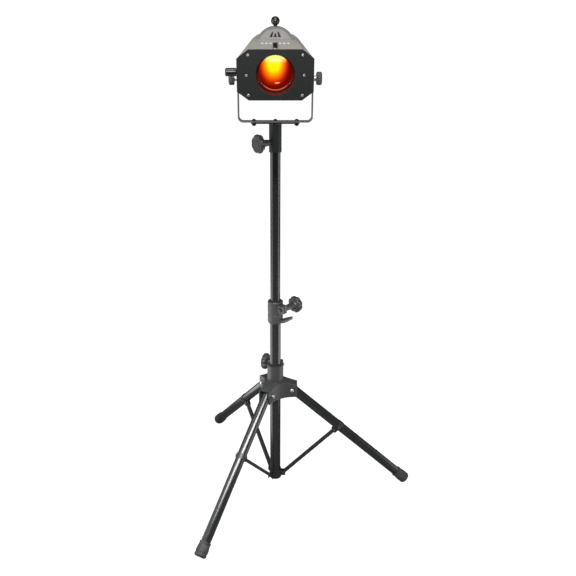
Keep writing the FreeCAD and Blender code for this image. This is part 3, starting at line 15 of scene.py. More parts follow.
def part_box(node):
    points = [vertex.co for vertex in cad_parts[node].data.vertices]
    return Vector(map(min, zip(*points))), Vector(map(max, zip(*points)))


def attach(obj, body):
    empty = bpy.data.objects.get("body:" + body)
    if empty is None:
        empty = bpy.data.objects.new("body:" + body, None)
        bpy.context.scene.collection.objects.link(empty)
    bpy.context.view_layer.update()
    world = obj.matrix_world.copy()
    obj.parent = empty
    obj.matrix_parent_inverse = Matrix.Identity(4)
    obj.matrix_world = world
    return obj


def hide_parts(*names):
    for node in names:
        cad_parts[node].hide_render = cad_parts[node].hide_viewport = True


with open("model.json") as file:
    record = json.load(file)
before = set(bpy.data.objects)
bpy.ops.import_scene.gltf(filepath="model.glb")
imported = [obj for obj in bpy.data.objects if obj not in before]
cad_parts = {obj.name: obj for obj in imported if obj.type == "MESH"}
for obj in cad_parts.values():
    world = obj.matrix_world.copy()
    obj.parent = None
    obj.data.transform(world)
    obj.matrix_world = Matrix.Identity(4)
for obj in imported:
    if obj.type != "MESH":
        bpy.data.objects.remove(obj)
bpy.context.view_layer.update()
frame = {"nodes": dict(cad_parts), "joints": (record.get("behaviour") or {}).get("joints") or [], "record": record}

MM = 0.001
TAU = 2 * math.pi
JOINTS = {joint["name"]: joint for joint in frame["joints"]}
BODIES = frame["record"]["behaviour"]["bodies"]
BODY_OF = {node: body for body, nodes in BODIES.items() for node in nodes}
SLOT_OF = {name: node.data.materials[0].name for name, node in frame["nodes"].items()}
SIDES = ("right", "back", "front")
UP = Vector((0, 0, 1))
ACROSS = Vector((1, 0, 0))


# ---------------------------------------------------------------- local frames
def axes(origin, z_way, x_way):
    """Matrix from a local frame to the row frame: z is kept and x is squared up to it."""
    z_way = Vector(z_way).normalized()
    x_way = Vector(x_way)
    x_way = (x_way - z_way * x_way.dot(z_way)).normalized()
    y_way = z_way.cross(x_way)
    turn = Matrix((x_way, y_way, z_way)).transposed().to_4x4()
    return Matrix.Translation(Vector(origin)) @ turn


def points_of(node):
    """A CAD node's mesh points in the row frame."""
    return [vertex.co for vertex in frame["nodes"][node].data.vertices]


def extent(node, place):
    """Lowest and highest corner of a CAD node in a local frame."""
    inverse = place.inverted()
    spots = np.array([inverse @ point for point in points_of(node)])
    return Vector(spots.min(axis=0)), Vector(spots.max(axis=0))


def tube_axis(node, pivot):
    """Unit vector from a tube's lower end up to the pivot on its axis."""
    spots = points_of(node)
    farthest = max((spot - pivot).length for spot in spots)
    end = [spot for spot in spots if (spot - pivot).length > farthest - 1 * MM]
    return (pivot - sum(end, Vector()) / len(end)).normalized()


def joint_frame(joint, x_way=UP):
    """Local frame on a joint, with z along its axis."""
    return axes(JOINTS[joint]["pos_m"], JOINTS[joint]["axis"], x_way)


BACKWARD = Vector(JOINTS["zoom_slide"]["axis"])
HEAD_UP = ACROSS.cross(BACKWARD)
TILT_POINT = Vector(JOINTS["tilt"]["pos_m"])
BEAM_POINT = Vector(JOINTS["fan_spin"]["pos_m"])
HEAD = axes(TILT_POINT, HEAD_UP, ACROSS)
BEAM = axes(BEAM_POINT, -BACKWARD, ACROSS)
MAST = Matrix.Identity(4)
LEGS = {}
for side in SIDES:
    pivot = Vector(JOINTS[f"leg_{side}_fold"]["pos_m"])
    LEGS[side] = axes(pivot, tube_axis("leg_tube_" + side, pivot), UP)


# ---------------------------------------------------------------- node materials
class Finish:
    """A Principled material with helpers for its procedural detail, in object coordinates."""

    def __init__(self, name, **constants):
        self.material = bpy.data.materials.new(name)
        self.material.use_nodes = True
        self.tree = self.material.node_tree
        self.shader = self.tree.nodes["Principled BSDF"]
        for socket, value in constants.items():
            self.shader.inputs[socket.replace("_", " ")].default_value = value
        self.place = self.add("ShaderNodeTexCoord").outputs["Object"]

    def add(self, kind, **settings):
        node = self.tree.nodes.new(kind)
        for key, value in settings.items():
            setattr(node, key, value)
        return node

    def feed(self, socket, value):
        if isinstance(value, bpy.types.NodeSocket):
            self.tree.links.new(value, socket)
        else:
            socket.default_value = value

    def math(self, operation, first, second=0.0, clamp=False):
        node = self.add("ShaderNodeMath", operation=operation, use_clamp=clamp)
        self.feed(node.inputs[0], first)
        self.feed(node.inputs[1], second)
        return node.outputs[0]

    def scaled(self, value, centre, size):
        """(value - centre) / size."""
        return self.math("DIVIDE", self.math("SUBTRACT", value, centre), size)

    def distance(self, across, rise):
        """Distance from an axis, from the distances along two ways square to it."""
        squares = [self.math("MULTIPLY", part, part) for part in (across, rise)]
        return self.math("SQRT", self.math("ADD", *squares))

    def stretched(self, stretch):
        node = self.add("ShaderNodeMapping")
        self.feed(node.inputs["Vector"], self.place)
        node.inputs["Scale"].default_value = stretch
        return node.outputs[0]

    def noise(self, scale, detail, roughness=0.5, stretch=None):
        node = self.add("ShaderNodeTexNoise")
        self.feed(node.inputs["Vector"], self.stretched(stretch) if stretch else self.place)
        node.inputs["Scale"].default_value = scale
        node.inputs["Detail"].default_value = detail
        node.inputs["Roughness"].default_value = roughness
        return node.outputs["Fac"]

    def cells(self, scale, output="Distance"):
        node = self.add("ShaderNodeTexVoronoi")
        self.feed(node.inputs["Vector"], self.place)
        node.inputs["Scale"].default_value = scale
        return node.outputs[output]

    def spread(self, value, low, high, start=0.0, end=1.0):
        """Map start..end to low..high, clamped at both ends."""
        node = self.add("ShaderNodeMapRange")
        for key, amount in (("Value", value), ("From Min", start), ("From Max", end),
                            ("To Min", low), ("To Max", high)):
            self.feed(node.inputs[key], amount)
        return node.outputs[0]

    def ramp(self, value, stops, interpolation="LINEAR"):
        """Colour ramp from (position, colour) stops."""
        node = self.add("ShaderNodeValToRGB")
        self.feed(node.inputs["Fac"], value)
        node.color_ramp.interpolation = interpolation
        elements = node.color_ramp.elements
        while len(elements) < len(stops):
            elements.new(0.5)
        for element, (spot, colour) in zip(elements, stops):
            element.position = spot
            element.color = (*colour, 1.0)
        return node.outputs["Color"]

    def mixed(self, factor, first, second):
        node = self.add("ShaderNodeMix", data_type="RGBA")
        self.feed(node.inputs["Factor"], factor)
        self.feed(node.inputs[6], first)
        self.feed(node.inputs[7], second)
        return node.outputs[2]

    def along(self, origin, way):
        """Distance of a surface point from origin along a direction."""
        shifted = self.add("ShaderNodeVectorMath", operation="SUBTRACT")
        self.feed(shifted.inputs[0], self.place)
        shifted.inputs[1].default_value = origin
        dotted = self.add("ShaderNodeVectorMath", operation="DOT_PRODUCT")
        self.feed(dotted.inputs[0], shifted.outputs["Vector"])
        dotted.inputs[1].default_value = way
        return dotted.outputs["Value"]

    def colour(self, value):
        self.feed(self.shader.inputs["Base Color"], value)

    def roughness(self, value):
        self.feed(self.shader.inputs["Roughness"], value)

    def bump(self, *layers):
        """Stack bump layers of (height, depth in metres)."""
        normal = None
        for height, depth in layers:
            node = self.add("ShaderNodeBump")
            node.inputs["Distance"].default_value = depth
            self.feed(node.inputs["Height"], height)
            if normal is not None:
                self.feed(node.inputs["Normal"], normal)
            normal = node.outputs["Normal"]
        self.feed(self.shader.inputs["Normal"], normal)


def shade(colour, factor):
    """A lighter or darker version of a colour."""
    return tuple(min(1.0, channel * factor) for channel in colour)


def coated_metal(name, colour, rough, grain, depth, level=0.5):
    """Powder coat: a fine orange-peel skin, slight mottling and uneven gloss."""
    paint = Finish(name, Specular_IOR_Level=level)
    cloud = paint.noise(14, 4)
    speck = paint.noise(grain * 1.7, 2)
    tone = paint.ramp(cloud, [(0.3, shade(colour, 0.86)), (0.7, shade(colour, 1.14))])
    fine = paint.ramp(speck, [(0.35, shade(colour, 0.78)), (0.65, shade(colour, 1.22))])
    paint.colour(paint.mixed(0.4, tone, fine))
    paint.roughness(paint.spread(paint.noise(60, 5), rough - 0.06, rough + 0.08))
    paint.bump((paint.noise(grain, 2), depth), (paint.noise(grain * 0.2, 3), depth * 1.5))
    return paint.material


def silver_paint():
    """Warm silver paint with fine metal flake."""
    colour = (0.43, 0.405, 0.36)
    paint = Finish("silver_paint", Metallic=0.25, Coat_Weight=0.15, Coat_Roughness=0.3)
    flake = paint.cells(2600, "Color")
    spread = paint.ramp(flake, [(0.2, shade(colour, 0.80)), (0.9, shade(colour, 1.20))])
    cloud = paint.ramp(paint.noise(9, 4), [(0.3, shade(colour, 0.92)), (0.7, shade(colour, 1.06))])
    paint.colour(paint.mixed(0.55, spread, cloud))
    paint.roughness(paint.spread(paint.noise(45, 4), 0.42, 0.56))
    paint.bump((paint.cells(2600), 0.05 * MM), (paint.noise(700, 2), 0.05 * MM))
    return paint.material


def hood_paint():
    """Mid-grey hammered paint, with painted shade: a darker stripe along the hood's outer rim."""
    colour = (0.27, 0.27, 0.265)
    paint = Finish("hood_paint", Metallic=0.15)
    low, high = extent("wheel_hood", HEAD)
    reach = (high.x - low.x) / 2
    middle = HEAD @ Vector((0, 0, high.z - reach))
    radius = paint.distance(paint.along(middle, ACROSS), paint.along(middle, HEAD_UP))
    speck = paint.ramp(paint.noise(1300, 3), [(0.3, shade(colour, 0.72)),
                                              (0.7, shade(colour, 1.28))])
    cloud = paint.ramp(paint.noise(30, 4), [(0.3, shade(colour, 0.90)), (0.7, shade(colour, 1.10))])
    body = paint.mixed(0.45, speck, cloud)
    # Painted shade: the outer 6 mm of the hood's face is darkened towards near-black.
    painted_rim_shade = paint.spread(radius, 0.0, 1.0, reach - 6.5 * MM, reach - 5.5 * MM)
    paint.colour(paint.mixed(paint.math("MULTIPLY", painted_rim_shade, 0.45), body, (0.07, 0.07, 0.068, 1)))
    paint.roughness(paint.spread(paint.noise(80, 3), 0.42, 0.60))
    paint.bump((paint.noise(1100, 2), 0.09 * MM), (paint.noise(300, 3), 0.10 * MM))
    return paint.material


def moulded(name, colour, rough):
    """Spark-eroded mould texture on filled plastic."""
    plastic = Finish(name)
    depth = 0.06 * MM
    cloud = plastic.noise(22, 5)
    plastic.colour(plastic.ramp(cloud, [(0.3, shade(colour, 0.82)), (0.7, shade(colour, 1.2))]))
    pits = plastic.noise(1500, 3, 0.6)
    plastic.roughness(plastic.spread(pits, rough - 0.1, rough + 0.12))
    plastic.bump((pits, depth), (plastic.noise(90, 2), depth * 1.2))
    return plastic.material


def gloss_black():
    """Polished phenolic plastic with faint polishing swirls."""
    plastic = Finish("gloss_black", Coat_Weight=0.3, Coat_Roughness=0.2)
    plastic.colour(plastic.ramp(plastic.noise(35, 5), [(0.3, (0.004, 0.004, 0.004)),
                                                        (0.7, (0.010, 0.010, 0.010))]))
    scuff = plastic.noise(240, 5, 0.7, stretch=(1, 1, 6))
    plastic.roughness(plastic.spread(scuff, 0.18, 0.32))
    plastic.bump((plastic.noise(120, 2), 0.03 * MM))
    return plastic.material


def rubber():
    """Matt moulded rubber with patchy bloom."""
    skin = Finish("rubber", Specular_IOR_Level=0.35)
    bloom = skin.noise(70, 6, 0.65)
    skin.colour(skin.ramp(bloom, [(0.32, (0.016, 0.016, 0.016)), (0.55, (0.030, 0.030, 0.030)),
                                  (0.75, (0.052, 0.051, 0.049))]))
    skin.roughness(skin.spread(skin.noise(500, 4), 0.55, 0.80))
    skin.bump((skin.noise(1800, 3), 0.08 * MM), (skin.noise(160, 3), 0.12 * MM))
    return skin.material


def plated(name, colour, rough):
    """Zinc plating: metal with faint crystal mottling and a fine grain."""
    metal = Finish(name, Metallic=1.0)
    spangle = metal.cells(400, "Color")
    metal.colour(metal.mixed(0.5, metal.ramp(spangle, [(0.1, shade(colour, 0.86)),
                                                       (0.9, shade(colour, 1.08))]),
                             metal.ramp(metal.noise(50, 4), [(0.3, shade(colour, 0.84)),
                                                             (0.7, shade(colour, 1.1))])))
    metal.roughness(metal.spread(metal.noise(900, 4), rough - 0.06, rough + 0.12))
    metal.bump((metal.noise(1400, 2), 0.03 * MM))
    return metal.material


def bare_aluminium():
    """Milled aluminium with fine parallel tool marks."""
    metal = Finish("bare_aluminium", Metallic=1.0)
    lines = metal.noise(300, 4, 0.6, stretch=(1, 1, 14))
    metal.colour(metal.ramp(lines, [(0.3, (0.56, 0.56, 0.57)), (0.7, (0.72, 0.72, 0.72))]))
    metal.roughness(metal.spread(lines, 0.26, 0.44))
    metal.bump((lines, 0.03 * MM))
    return metal.material


def circuit_board():
    """Green solder mask with copper tracks showing through."""
    board = Finish("circuit_board")
    tracks = board.add("ShaderNodeTexBrick")
    board.feed(tracks.inputs["Vector"], board.place)
    tracks.inputs["Scale"].default_value = 160
    tracks.inputs["Color1"].default_value = (0.010, 0.060, 0.022, 1)
    tracks.inputs["Color2"].default_value = (0.014, 0.085, 0.030, 1)
    tracks.inputs["Mortar"].default_value = (0.040, 0.170, 0.070, 1)
    board.colour(tracks.outputs["Color"])
    board.roughness(board.spread(board.noise(300, 3), 0.28, 0.42))
    board.bump((tracks.outputs["Fac"], 0.04 * MM))
    return board.material


def clear_glass():
    """Optical glass with a trace of dust."""
    glass = Finish("clear_glass", Transmission_Weight=1.0, IOR=1.5)
    dust = glass.noise(60, 6, 0.7)
    glass.colour(glass.ramp(dust, [(0.35, (0.97, 0.99, 0.98)), (0.8, (0.90, 0.94, 0.92))]))
    glass.roughness(glass.spread(dust, 0.0, 0.06))
    return glass.material


def filter_glass():
    """Dichroic filters: each window of the wheel takes its colour from where it sits."""
    glass = Finish("filter_glass", Transmission_Weight=0.7, IOR=1.5)
    low, high = extent("colour_filters", WHEEL)
    spot = glass.along(WHEEL.translation, ACROSS)
    tints = [(0.0, (0.02, 0.08, 0.75)), (0.3, (0.02, 0.55, 0.10)), (0.55, (0.90, 0.25, 0.02)),
             (0.85, (0.75, 0.02, 0.02))]
    tint = glass.ramp(glass.spread(spot, 0.0, 1.0, low.x, high.x), tints, "CONSTANT")
    glass.colour(glass.mixed(glass.spread(glass.noise(200, 3), 0.0, 0.2), tint,
                             (0.8, 0.8, 0.8, 1)))
    glass.roughness(glass.spread(glass.noise(90, 4), 0.02, 0.10))
    return glass.material


def beam_place(finish):
    """A surface point's sideways and upward distance from the beam's axis."""
    return finish.along(BEAM_POINT, ACROSS), finish.along(BEAM_POINT, HEAD_UP)


def lit_glass():
    """The lit lens, painted light: the beam is painted into its glow as a yellow oval that falls off to deep red
    at the rim.

    Places and sizes on the lens are shares of its radius.
    """
    glass = Finish("lit_glass", Coat_Weight=0.25, Coat_Roughness=0.03, Specular_IOR_Level=0.3)
    radius = extent("front_lens", BEAM)[1].x
    across, rise = (glass.math("DIVIDE", part, radius) for part in beam_place(glass))
    side = glass.math("ABSOLUTE", glass.scaled(across, -0.09, 0.69))
    above = glass.math("ABSOLUTE", glass.scaled(rise, 0.52, 0.94))
    oval = glass.math("SQRT", glass.math("ADD", glass.math("POWER", side, 2.3),
                                         glass.math("POWER", above, 2.0)))
    wobble = glass.math("MULTIPLY", glass.math("SUBTRACT", glass.noise(40, 2), 0.5), 0.05)
    glow = glass.ramp(glass.math("MULTIPLY", glass.math("ADD", oval, wobble), 0.5), [
        (0.0, (1.0, 0.95, 0.0)), (0.22, (1.0, 0.92, 0.0)), (0.27, (1.0, 0.72, 0.0)),
        (0.32, (1.0, 0.47, 0.0)), (0.41, (1.0, 0.20, 0.0)), (0.50, (0.85, 0.06, 0.0)),
        (0.59, (0.42, 0.012, 0.0)), (0.69, (0.19, 0.002, 0.0)), (0.95, (0.06, 0.0, 0.0))])
    # Painted highlight: a pale yellow-white stripe across the top of the lens.
    cap = glass.math("MULTIPLY", glass.spread(rise, 0.0, 1.0, 0.50, 0.80),
                     glass.spread(glass.math("ABSOLUTE", across), 1.0, 0.0, 0.50, 0.68))
    glow = glass.mixed(glass.math("MULTIPLY", cap, 0.9, clamp=True), glow, (1.0, 1.0, 0.30, 1))
    # Painted glint: a warm highlight painted low on the lens.
    glint_side = glass.scaled(across, 0.11, 0.19)
    bow = glass.math("MULTIPLY", glass.math("MULTIPLY", across, across), -0.5)
    glint_rise = glass.scaled(glass.math("ADD", rise, bow), -0.59, 0.045)
    glint = glass.math("SUBTRACT", 1.0, glass.math(
        "ADD", glass.math("MULTIPLY", glint_side, glint_side),
        glass.math("MULTIPLY", glint_rise, glint_rise)), clamp=True)
    glow = glass.mixed(glint, glow, (1.0, 0.70, 0.35, 1))
    glass.colour(glass.ramp(glass.noise(50, 3), [(0.3, (0.020, 0.0, 0.0)),
                                                 (0.7, (0.030, 0.001, 0.0))]))
    glass.feed(glass.shader.inputs["Emission Color"], glow)
    glass.shader.inputs["Emission Strength"].default_value = 1.0
    glass.roughness(glass.spread(glass.noise(70, 4), 0.04, 0.12))
    return glass.material


def lens_barrel():
    """Black ring and shroud with painted light: a red glow painted where the lens would light them, and a painted
    bright arc under the lens.
    """
    metal = Finish("ring_black", Specular_IOR_Level=0.12)
    across, rise = beam_place(metal)
    reach = metal.distance(across, rise)
    lens = extent("front_lens", BEAM)[1].x
    # Painted highlight: a bright arc along the lens's lower rim.
    low = metal.spread(rise, 1.0, 0.0, -0.82 * lens, -0.66 * lens)
    inner = metal.spread(reach, 0.0, 1.0, lens - 1.9 * MM, lens - 1.3 * MM)
    outer = metal.spread(reach, 1.0, 0.0, lens - 0.1 * MM, lens + 0.7 * MM)
    arc = metal.math("MULTIPLY", low, metal.math("MULTIPLY", inner, outer))
    # Painted light: a red glow, strongest low down and fading to near-black higher up.
    painted_red_glow = metal.ramp(metal.noise(60, 3), [(0.3, (0.080, 0.004, 0.003)),
                                           (0.7, (0.110, 0.006, 0.005))])
    painted_red_glow = metal.mixed(metal.spread(rise, 0.0, 0.75, -0.5 * lens, 0.1 * lens), painted_red_glow,
                       (0.006, 0.0, 0.0, 1))
    glow = metal.mixed(arc, painted_red_glow, (1.0, 0.22, 0.08, 1))
    metal.colour(metal.ramp(metal.noise(1500, 3), [(0.3, (0.020, 0.006, 0.005)),
                                                   (0.7, (0.034, 0.010, 0.008))]))
    metal.feed(metal.shader.inputs["Emission Color"], glow)
    metal.shader.inputs["Emission Strength"].default_value = 0.9
    metal.roughness(metal.spread(metal.noise(200, 3), 0.5, 0.7))
    return metal.material


def print_white():
    """Screen-printed marks, slightly worn."""
    ink = Finish("print_white")
    ink.colour(ink.ramp(ink.noise(500, 4), [(0.3, (0.80, 0.79, 0.76)), (0.6, (0.95, 0.95, 0.93))]))
    ink.roughness(ink.spread(ink.noise(300, 3), 0.4, 0.6))
    return ink.material


WHEEL = axes(JOINTS["colour_index"]["pos_m"], -BACKWARD, ACROSS)
FINISHES = {
    "silver_paint": silver_paint(),
    "hood_paint": hood_paint(),
    "plate_paint": coated_metal("plate_paint", (0.011, 0.0132, 0.012), 0.50, 1300, 0.09 * MM,
                                level=0.3),
    "tube_paint": coated_metal("tube_paint", (0.009, 0.010, 0.0095), 0.20, 900, 0.006 * MM),
    "lever_paint": coated_metal("lever_paint", (0.006, 0.006, 0.006), 0.60, 1300, 0.05 * MM,
                                level=0.1),
    "brace_paint": coated_metal("brace_paint", (0.010, 0.0105, 0.010), 0.42, 1100, 0.05 * MM),
    "yoke_paint": coated_metal("yoke_paint", (0.17, 0.172, 0.17), 0.42, 1200, 0.05 * MM),
    "ring_black": lens_barrel(),
    "moulded_black": moulded("moulded_black", (0.021, 0.022, 0.021), 0.46),
    "knob_grey": moulded("knob_grey", (0.050, 0.051, 0.050), 0.42),
    "gloss_black": gloss_black(),
    "rubber": rubber(),
    "zinc": plated("zinc", (0.74, 0.72, 0.69), 0.26),
    "black_zinc": plated("black_zinc", (0.055, 0.055, 0.058), 0.34),
    "grey_zinc": plated("grey_zinc", (0.46, 0.46, 0.46), 0.42),
    "led_metal": plated("led_metal", (0.80, 0.52, 0.24), 0.24),
    "bare_aluminium": bare_aluminium(),
    "circuit_board": circuit_board(),
    "clear_glass": clear_glass(),
    "filter_glass": filter_glass(),
    "lit_glass": lit_glass(),
}
PRINT_WHITE = print_white()


# ---------------------------------------------------------------- mesh building
def piece(name, bm, like, body=None, stands_for=(), finish=None, sharp=32):
    """Turn a bmesh into a shown piece that rides a body and takes a material slot."""
    mesh = bpy.data.meshes.new(name)
    bm.to_mesh(mesh)
    bm.free()
    mesh.shade_smooth()
    mesh.set_sharp_from_angle(angle=math.radians(sharp))
    made = bpy.data.objects.new(name, mesh)
    bpy.context.scene.collection.objects.link(made)
    even = made.modifiers.new("even_normals", "WEIGHTED_NORMAL")
    even.keep_sharp = True
    slot = SLOT_OF.get(like, like)
    mesh.materials.append(finish or FINISHES[slot])
    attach(made, body or BODY_OF[like])
    if stands_for:
        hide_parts(*stands_for)
    return made


def rounded(corners, steps=4):
    """Corners of (radius, height, rounding): each rounded one becomes an arc."""
    points = []
    count = len(corners)
    for i, corner in enumerate(corners):
        here = Vector(corner[:2])
        if len(corner) < 3:
            points.append(here)
            continue
        before = Vector(corners[i - 1][:2]) - here
        after = Vector(corners[(i + 1) % count][:2]) - here
        half = before.angle(after) / 2
        cut = min(corner[2] / math.tan(half), before.length * 0.49, after.length * 0.49)
        radius = cut * math.tan(half)
        middle = here + (before.normalized() + after.normalized()).normalized() * (
            radius / math.sin(half))
        start = here + before.normalized() * cut - middle
        end = here + after.normalized() * cut - middle
        for step in range(steps + 1):
            points.append(middle + start.lerp(end, step / steps).normalized() * radius)
    return points


def turned(profile, place, segments, closed=False, shape=None):
    """Turn (radius, height) points about local Z; shape may change a radius with the angle."""
    bm = bmesh.new()
    rings = []
    for radius, height in profile:
        if radius < 1e-7:
            rings.append([bm.verts.new((0, 0, height))])
            continue
        ring = []
        for i in range(segments):
            angle = TAU * i / segments
            reach = shape(angle, radius, height) if shape else radius
            ring.append(bm.verts.new((reach * math.cos(angle), reach * math.sin(angle), height)))
        rings.append(ring)
    pairs = list(zip(rings, rings[1:]))
    if closed:
        pairs.append((rings[-1], rings[0]))
    for low, high in pairs:
        for i in range(segments):
            after = (i + 1) % segments
            if len(low) == 1 and len(high) == 1:
                break
            if len(low) == 1:
                bm.faces.new((low[0], high[after], high[i]))
            elif len(high) == 1:
                bm.faces.new((low[i], low[after], high[0]))
            else:
                bm.faces.new((low[i], low[after], high[after], high[i]))
    bmesh.ops.recalc_face_normals(bm, faces=bm.faces)
    bm.transform(place)
    return bm


def joined(parts):
    """One bmesh from several."""
    whole = bmesh.new()
    for part in parts:
        mesh = bpy.data.meshes.new("part")
        part.to_mesh(mesh)
        part.free()
        whole.from_mesh(mesh)
        bpy.data.meshes.remove(mesh)
    return whole


def round_edges(bm, width, over=28):
    """Bevel every edge sharper than an angle."""
    sharp = [edge for edge in bm.edges
             if edge.is_manifold and edge.calc_face_angle(0) > math.radians(over)]
    bmesh.ops.bevel(bm, geom=sharp, offset=width, segments=2, profile=0.6,
                    affect="EDGES", clamp_overlap=True)


def prism(outline, low, high, place, edge):
    """A flat outline in local XY raised from low to high, with its edges rounded."""
    bm = bmesh.new()
    floor = [bm.verts.new((x, y, low)) for x, y in outline]
    roof = [bm.verts.new((x, y, high)) for x, y in outline]
    count = len(outline)
    bm.faces.new(floor[::-1])
    bm.faces.new(roof)
    for i in range(count):
        after = (i + 1) % count
        bm.faces.new((floor[i], floor[after], roof[after], roof[i]))
    bmesh.ops.recalc_face_normals(bm, faces=bm.faces)
    round_edges(bm, edge)
    bm.transform(place)
    return bm


def refined(node, edge, finish=None):
    """A CAD node's own shape with its flat faces joined up and its sharp edges rounded."""
    bm = bmesh.new()
    bm.from_mesh(frame["nodes"][node].data)
    bmesh.ops.remove_doubles(bm, verts=bm.verts, dist=0.004 * MM)
    bmesh.ops.dissolve_limit(bm, angle_limit=math.radians(0.3), verts=bm.verts, edges=bm.edges)
    round_edges(bm, edge)
    return piece(node + "_skin", bm, node, stands_for=[node], finish=finish)


# ---------------------------------------------------------------- stand
def hollow_tube(node, place):
    """Drawn tube with a wall and rounded rims."""
    low, high = extent(node, place)
    radius = high.x
    wall = 1.5 * MM
    rim = 0.6 * MM
    profile = rounded([(radius - wall, low.z, rim), (radius, low.z, rim), (radius, high.z, rim),
                       (radius - wall, high.z, rim)])
    piece(node + "_drawn", turned(profile, place, 128, closed=True), node, stands_for=[node])


def foot_cap(side):
    """Ribbed rubber shoe, cut flat where it stands on the floor."""
    node = "foot_cap_" + side
    place = LEGS[side]
    high = extent(node, place)[1]
    tube_low, tube_high = extent("leg_tube_" + side, place)
    bore = tube_high.x + 0.05 * MM
    outer = max(high.x, high.y)
    sole = 6 * MM
    end = tube_low.z - sole
    mouth = high.z
    toe = 8 * MM
    steps = 8
    corners = [(0, end)]
    for step in range(steps + 1):
        lean = TAU / 4 * step / steps
        corners.append((outer - toe + toe * math.sin(lean), end + toe - toe * math.cos(lean)))
    corners += [
        (outer, end + 10 * MM, 1.2 * MM), (outer - 1.4 * MM, end + 12 * MM, 1.2 * MM),
        (outer - 1.4 * MM, end + 16 * MM, 1.2 * MM), (outer, end + 18 * MM, 1.2 * MM),
        (outer, end + 26 * MM, 6 * MM), (outer - 2.2 * MM, mouth - 9 * MM, 4 * MM),
        (outer - 2.2 * MM, mouth - 5.5 * MM, 0.8 * MM),
        (outer - 1.0 * MM, mouth - 4.5 * MM, 0.8 * MM), (outer - 1.0 * MM, mouth, 0.9 * MM),
        (bore, mouth, 0.6 * MM), (bore, mouth - 12 * MM), (0, mouth - 12 * MM)]
    bm = turned(rounded(corners), place, 112)
    bmesh.ops.bisect_plane(bm, geom=bm.verts[:] + bm.edges[:] + bm.faces[:], plane_co=(0, 0, 0),
                           plane_no=(0, 0, -1), clear_outer=True)
    bmesh.ops.holes_fill(bm, edges=[edge for edge in bm.edges if edge.is_boundary])
    round_edges(bm, 0.5 * MM, over=35)
    piece(node + "_moulded", bm, node, stands_for=[node], sharp=40)


def scalloped(count, rim, reach, bite, blend):
    """Radius rule for a rim bitten by evenly spaced round scallops."""
    def rule(angle, radius, height):
        off = (angle + math.pi / count) % (TAU / count) - math.pi / count
        sideways = reach * math.sin(off)
        if abs(sideways) >= bite or radius < rim * 0.5:
            return radius
        edge = reach * math.cos(off) - math.sqrt(bite ** 2 - sideways ** 2)
        if edge > radius + 4 * blend:
            return radius
        return edge - blend * math.log(1 + math.exp((edge - radius) / blend))
    return rule


def star_knob(node, place, foot):
    """Eight-lobed hand knob with a tapered neck, a dished face and a centre cap."""
    high = extent(node, place)[1]
    rim = max(high.x, high.y)
    thick = 20 * MM
    top = high.z
    neck = top - thick
    corners = [
        (0, foot), (9.5 * MM, foot, 0.6 * MM), (10.4 * MM, foot + 2 * MM, 2 * MM),
        (12 * MM, neck - 5 * MM, 4 * MM), (16 * MM, neck, 3 * MM),
        (rim - 8 * MM, neck + 0.6 * MM, 2 * MM),
        (rim - 1.5 * MM, neck + 3 * MM, 2.5 * MM), (rim, neck + 7 * MM, 3 * MM),
        (rim, top - 6 * MM, 4 * MM), (rim - 2.5 * MM, top - 1.5 * MM, 3 * MM),
        (rim - 7 * MM, top - 0.4 * MM, 2 * MM), (rim - 9.5 * MM, top - 1.9 * MM, 1 * MM),
        (12.2 * MM, top - 2.3 * MM, 1 * MM), (11.6 * MM, top - 0.5 * MM, 0.5 * MM),
        (8 * MM, top - 0.05 * MM, 2 * MM), (0, top)]
    rule = scalloped(8, rim, rim + 2.6 * MM, 7.6 * MM, 0.4 * MM)
    bm = turned(rounded(corners, 5), place, 192, shape=rule)
    piece(node + "_moulded", bm, node, stands_for=[node], sharp=50)


def threaded_stud(name, place, radius, low, high, body):
    """A zinc-plated stud with rolled thread rings."""
    pitch = 1.25 * MM
    corners = [(0, low), (radius - 0.8 * MM, low)]
    turns = max(1, int((high - low) / pitch) - 1)
    for i in range(turns):
        at = low + 0.8 * MM + i * pitch
        corners += [(radius - 0.45 * MM, at), (radius, at + pitch * 0.5)]
    corners += [(radius - 0.45 * MM, high), (0, high)]
    piece(name, turned([Vector(c) for c in corners], place, 48), "zinc", body=body)


def make_stand():
    """Pieces of the tripod, the mast, the sleeve and the yoke."""
    hollow_tube("lower_tube", MAST)
    hollow_tube("upper_tube", MAST)
    for side in SIDES:
        hollow_tube("leg_tube_" + side, LEGS[side])
        foot_cap(side)
        refined("leg_clip_" + side, 0.3 * MM)
        refined("brace_" + side, 0.3 * MM)
    refined("hub_casting", 0.9 * MM)
    refined("hub_bolts", 0.35 * MM, FINISHES["grey_zinc"])
    refined("foot_bracket", 0.4 * MM)
    refined("bracket_bolts", 0.2 * MM)
    refined("mast_collar", 0.6 * MM)
    refined("collar_clamp_bolt", 0.3 * MM)
    refined("mast_sleeve", 0.5 * MM, FINISHES["plate_paint"])
    refined("yoke", 0.6 * MM)
    refined("yoke_bolts", 0.25 * MM)
    for node in ("hub_knob", "collar_knob"):
        place = joint_frame(node + "_turn")
        star_knob(node, place, extent(node, place)[0].z)
    place = joint_frame("sleeve_knob_turn")
    low = extent("sleeve_knob", place)[0].z
    screw = 11 * MM
    star_knob("sleeve_knob", place, low + screw)
    threaded_stud("sleeve_knob_stud", place, 4 * MM, low, low + screw, "sleeve_knob")
    weld_bead()


def weld_bead():
    """Rippled weld round the sleeve under the yoke's plate."""
    sleeve = 20.9 * MM
    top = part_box("mast_sleeve")[1].z - 4 * MM
    bead = 2.4 * MM

    def ripple(angle, radius, height):
        return radius + 0.25 * MM * math.sin(46 * angle + 900 * height)

    corners = [(sleeve - 0.5 * MM, top - bead), (sleeve + 0.1 * MM, top - bead)]
    for step in range(1, 7):
        lean = math.pi / 2 * step / 7
        corners.append((sleeve + bead * math.sin(lean) * 0.8, top - bead * math.cos(lean)))
    corners += [(sleeve + bead, top), (sleeve - 0.5 * MM, top)]
    bm = turned([Vector(c) for c in corners], MAST, 240, closed=True, shape=ripple)
    piece("sleeve_weld", bm, "mast_sleeve", sharp=60)


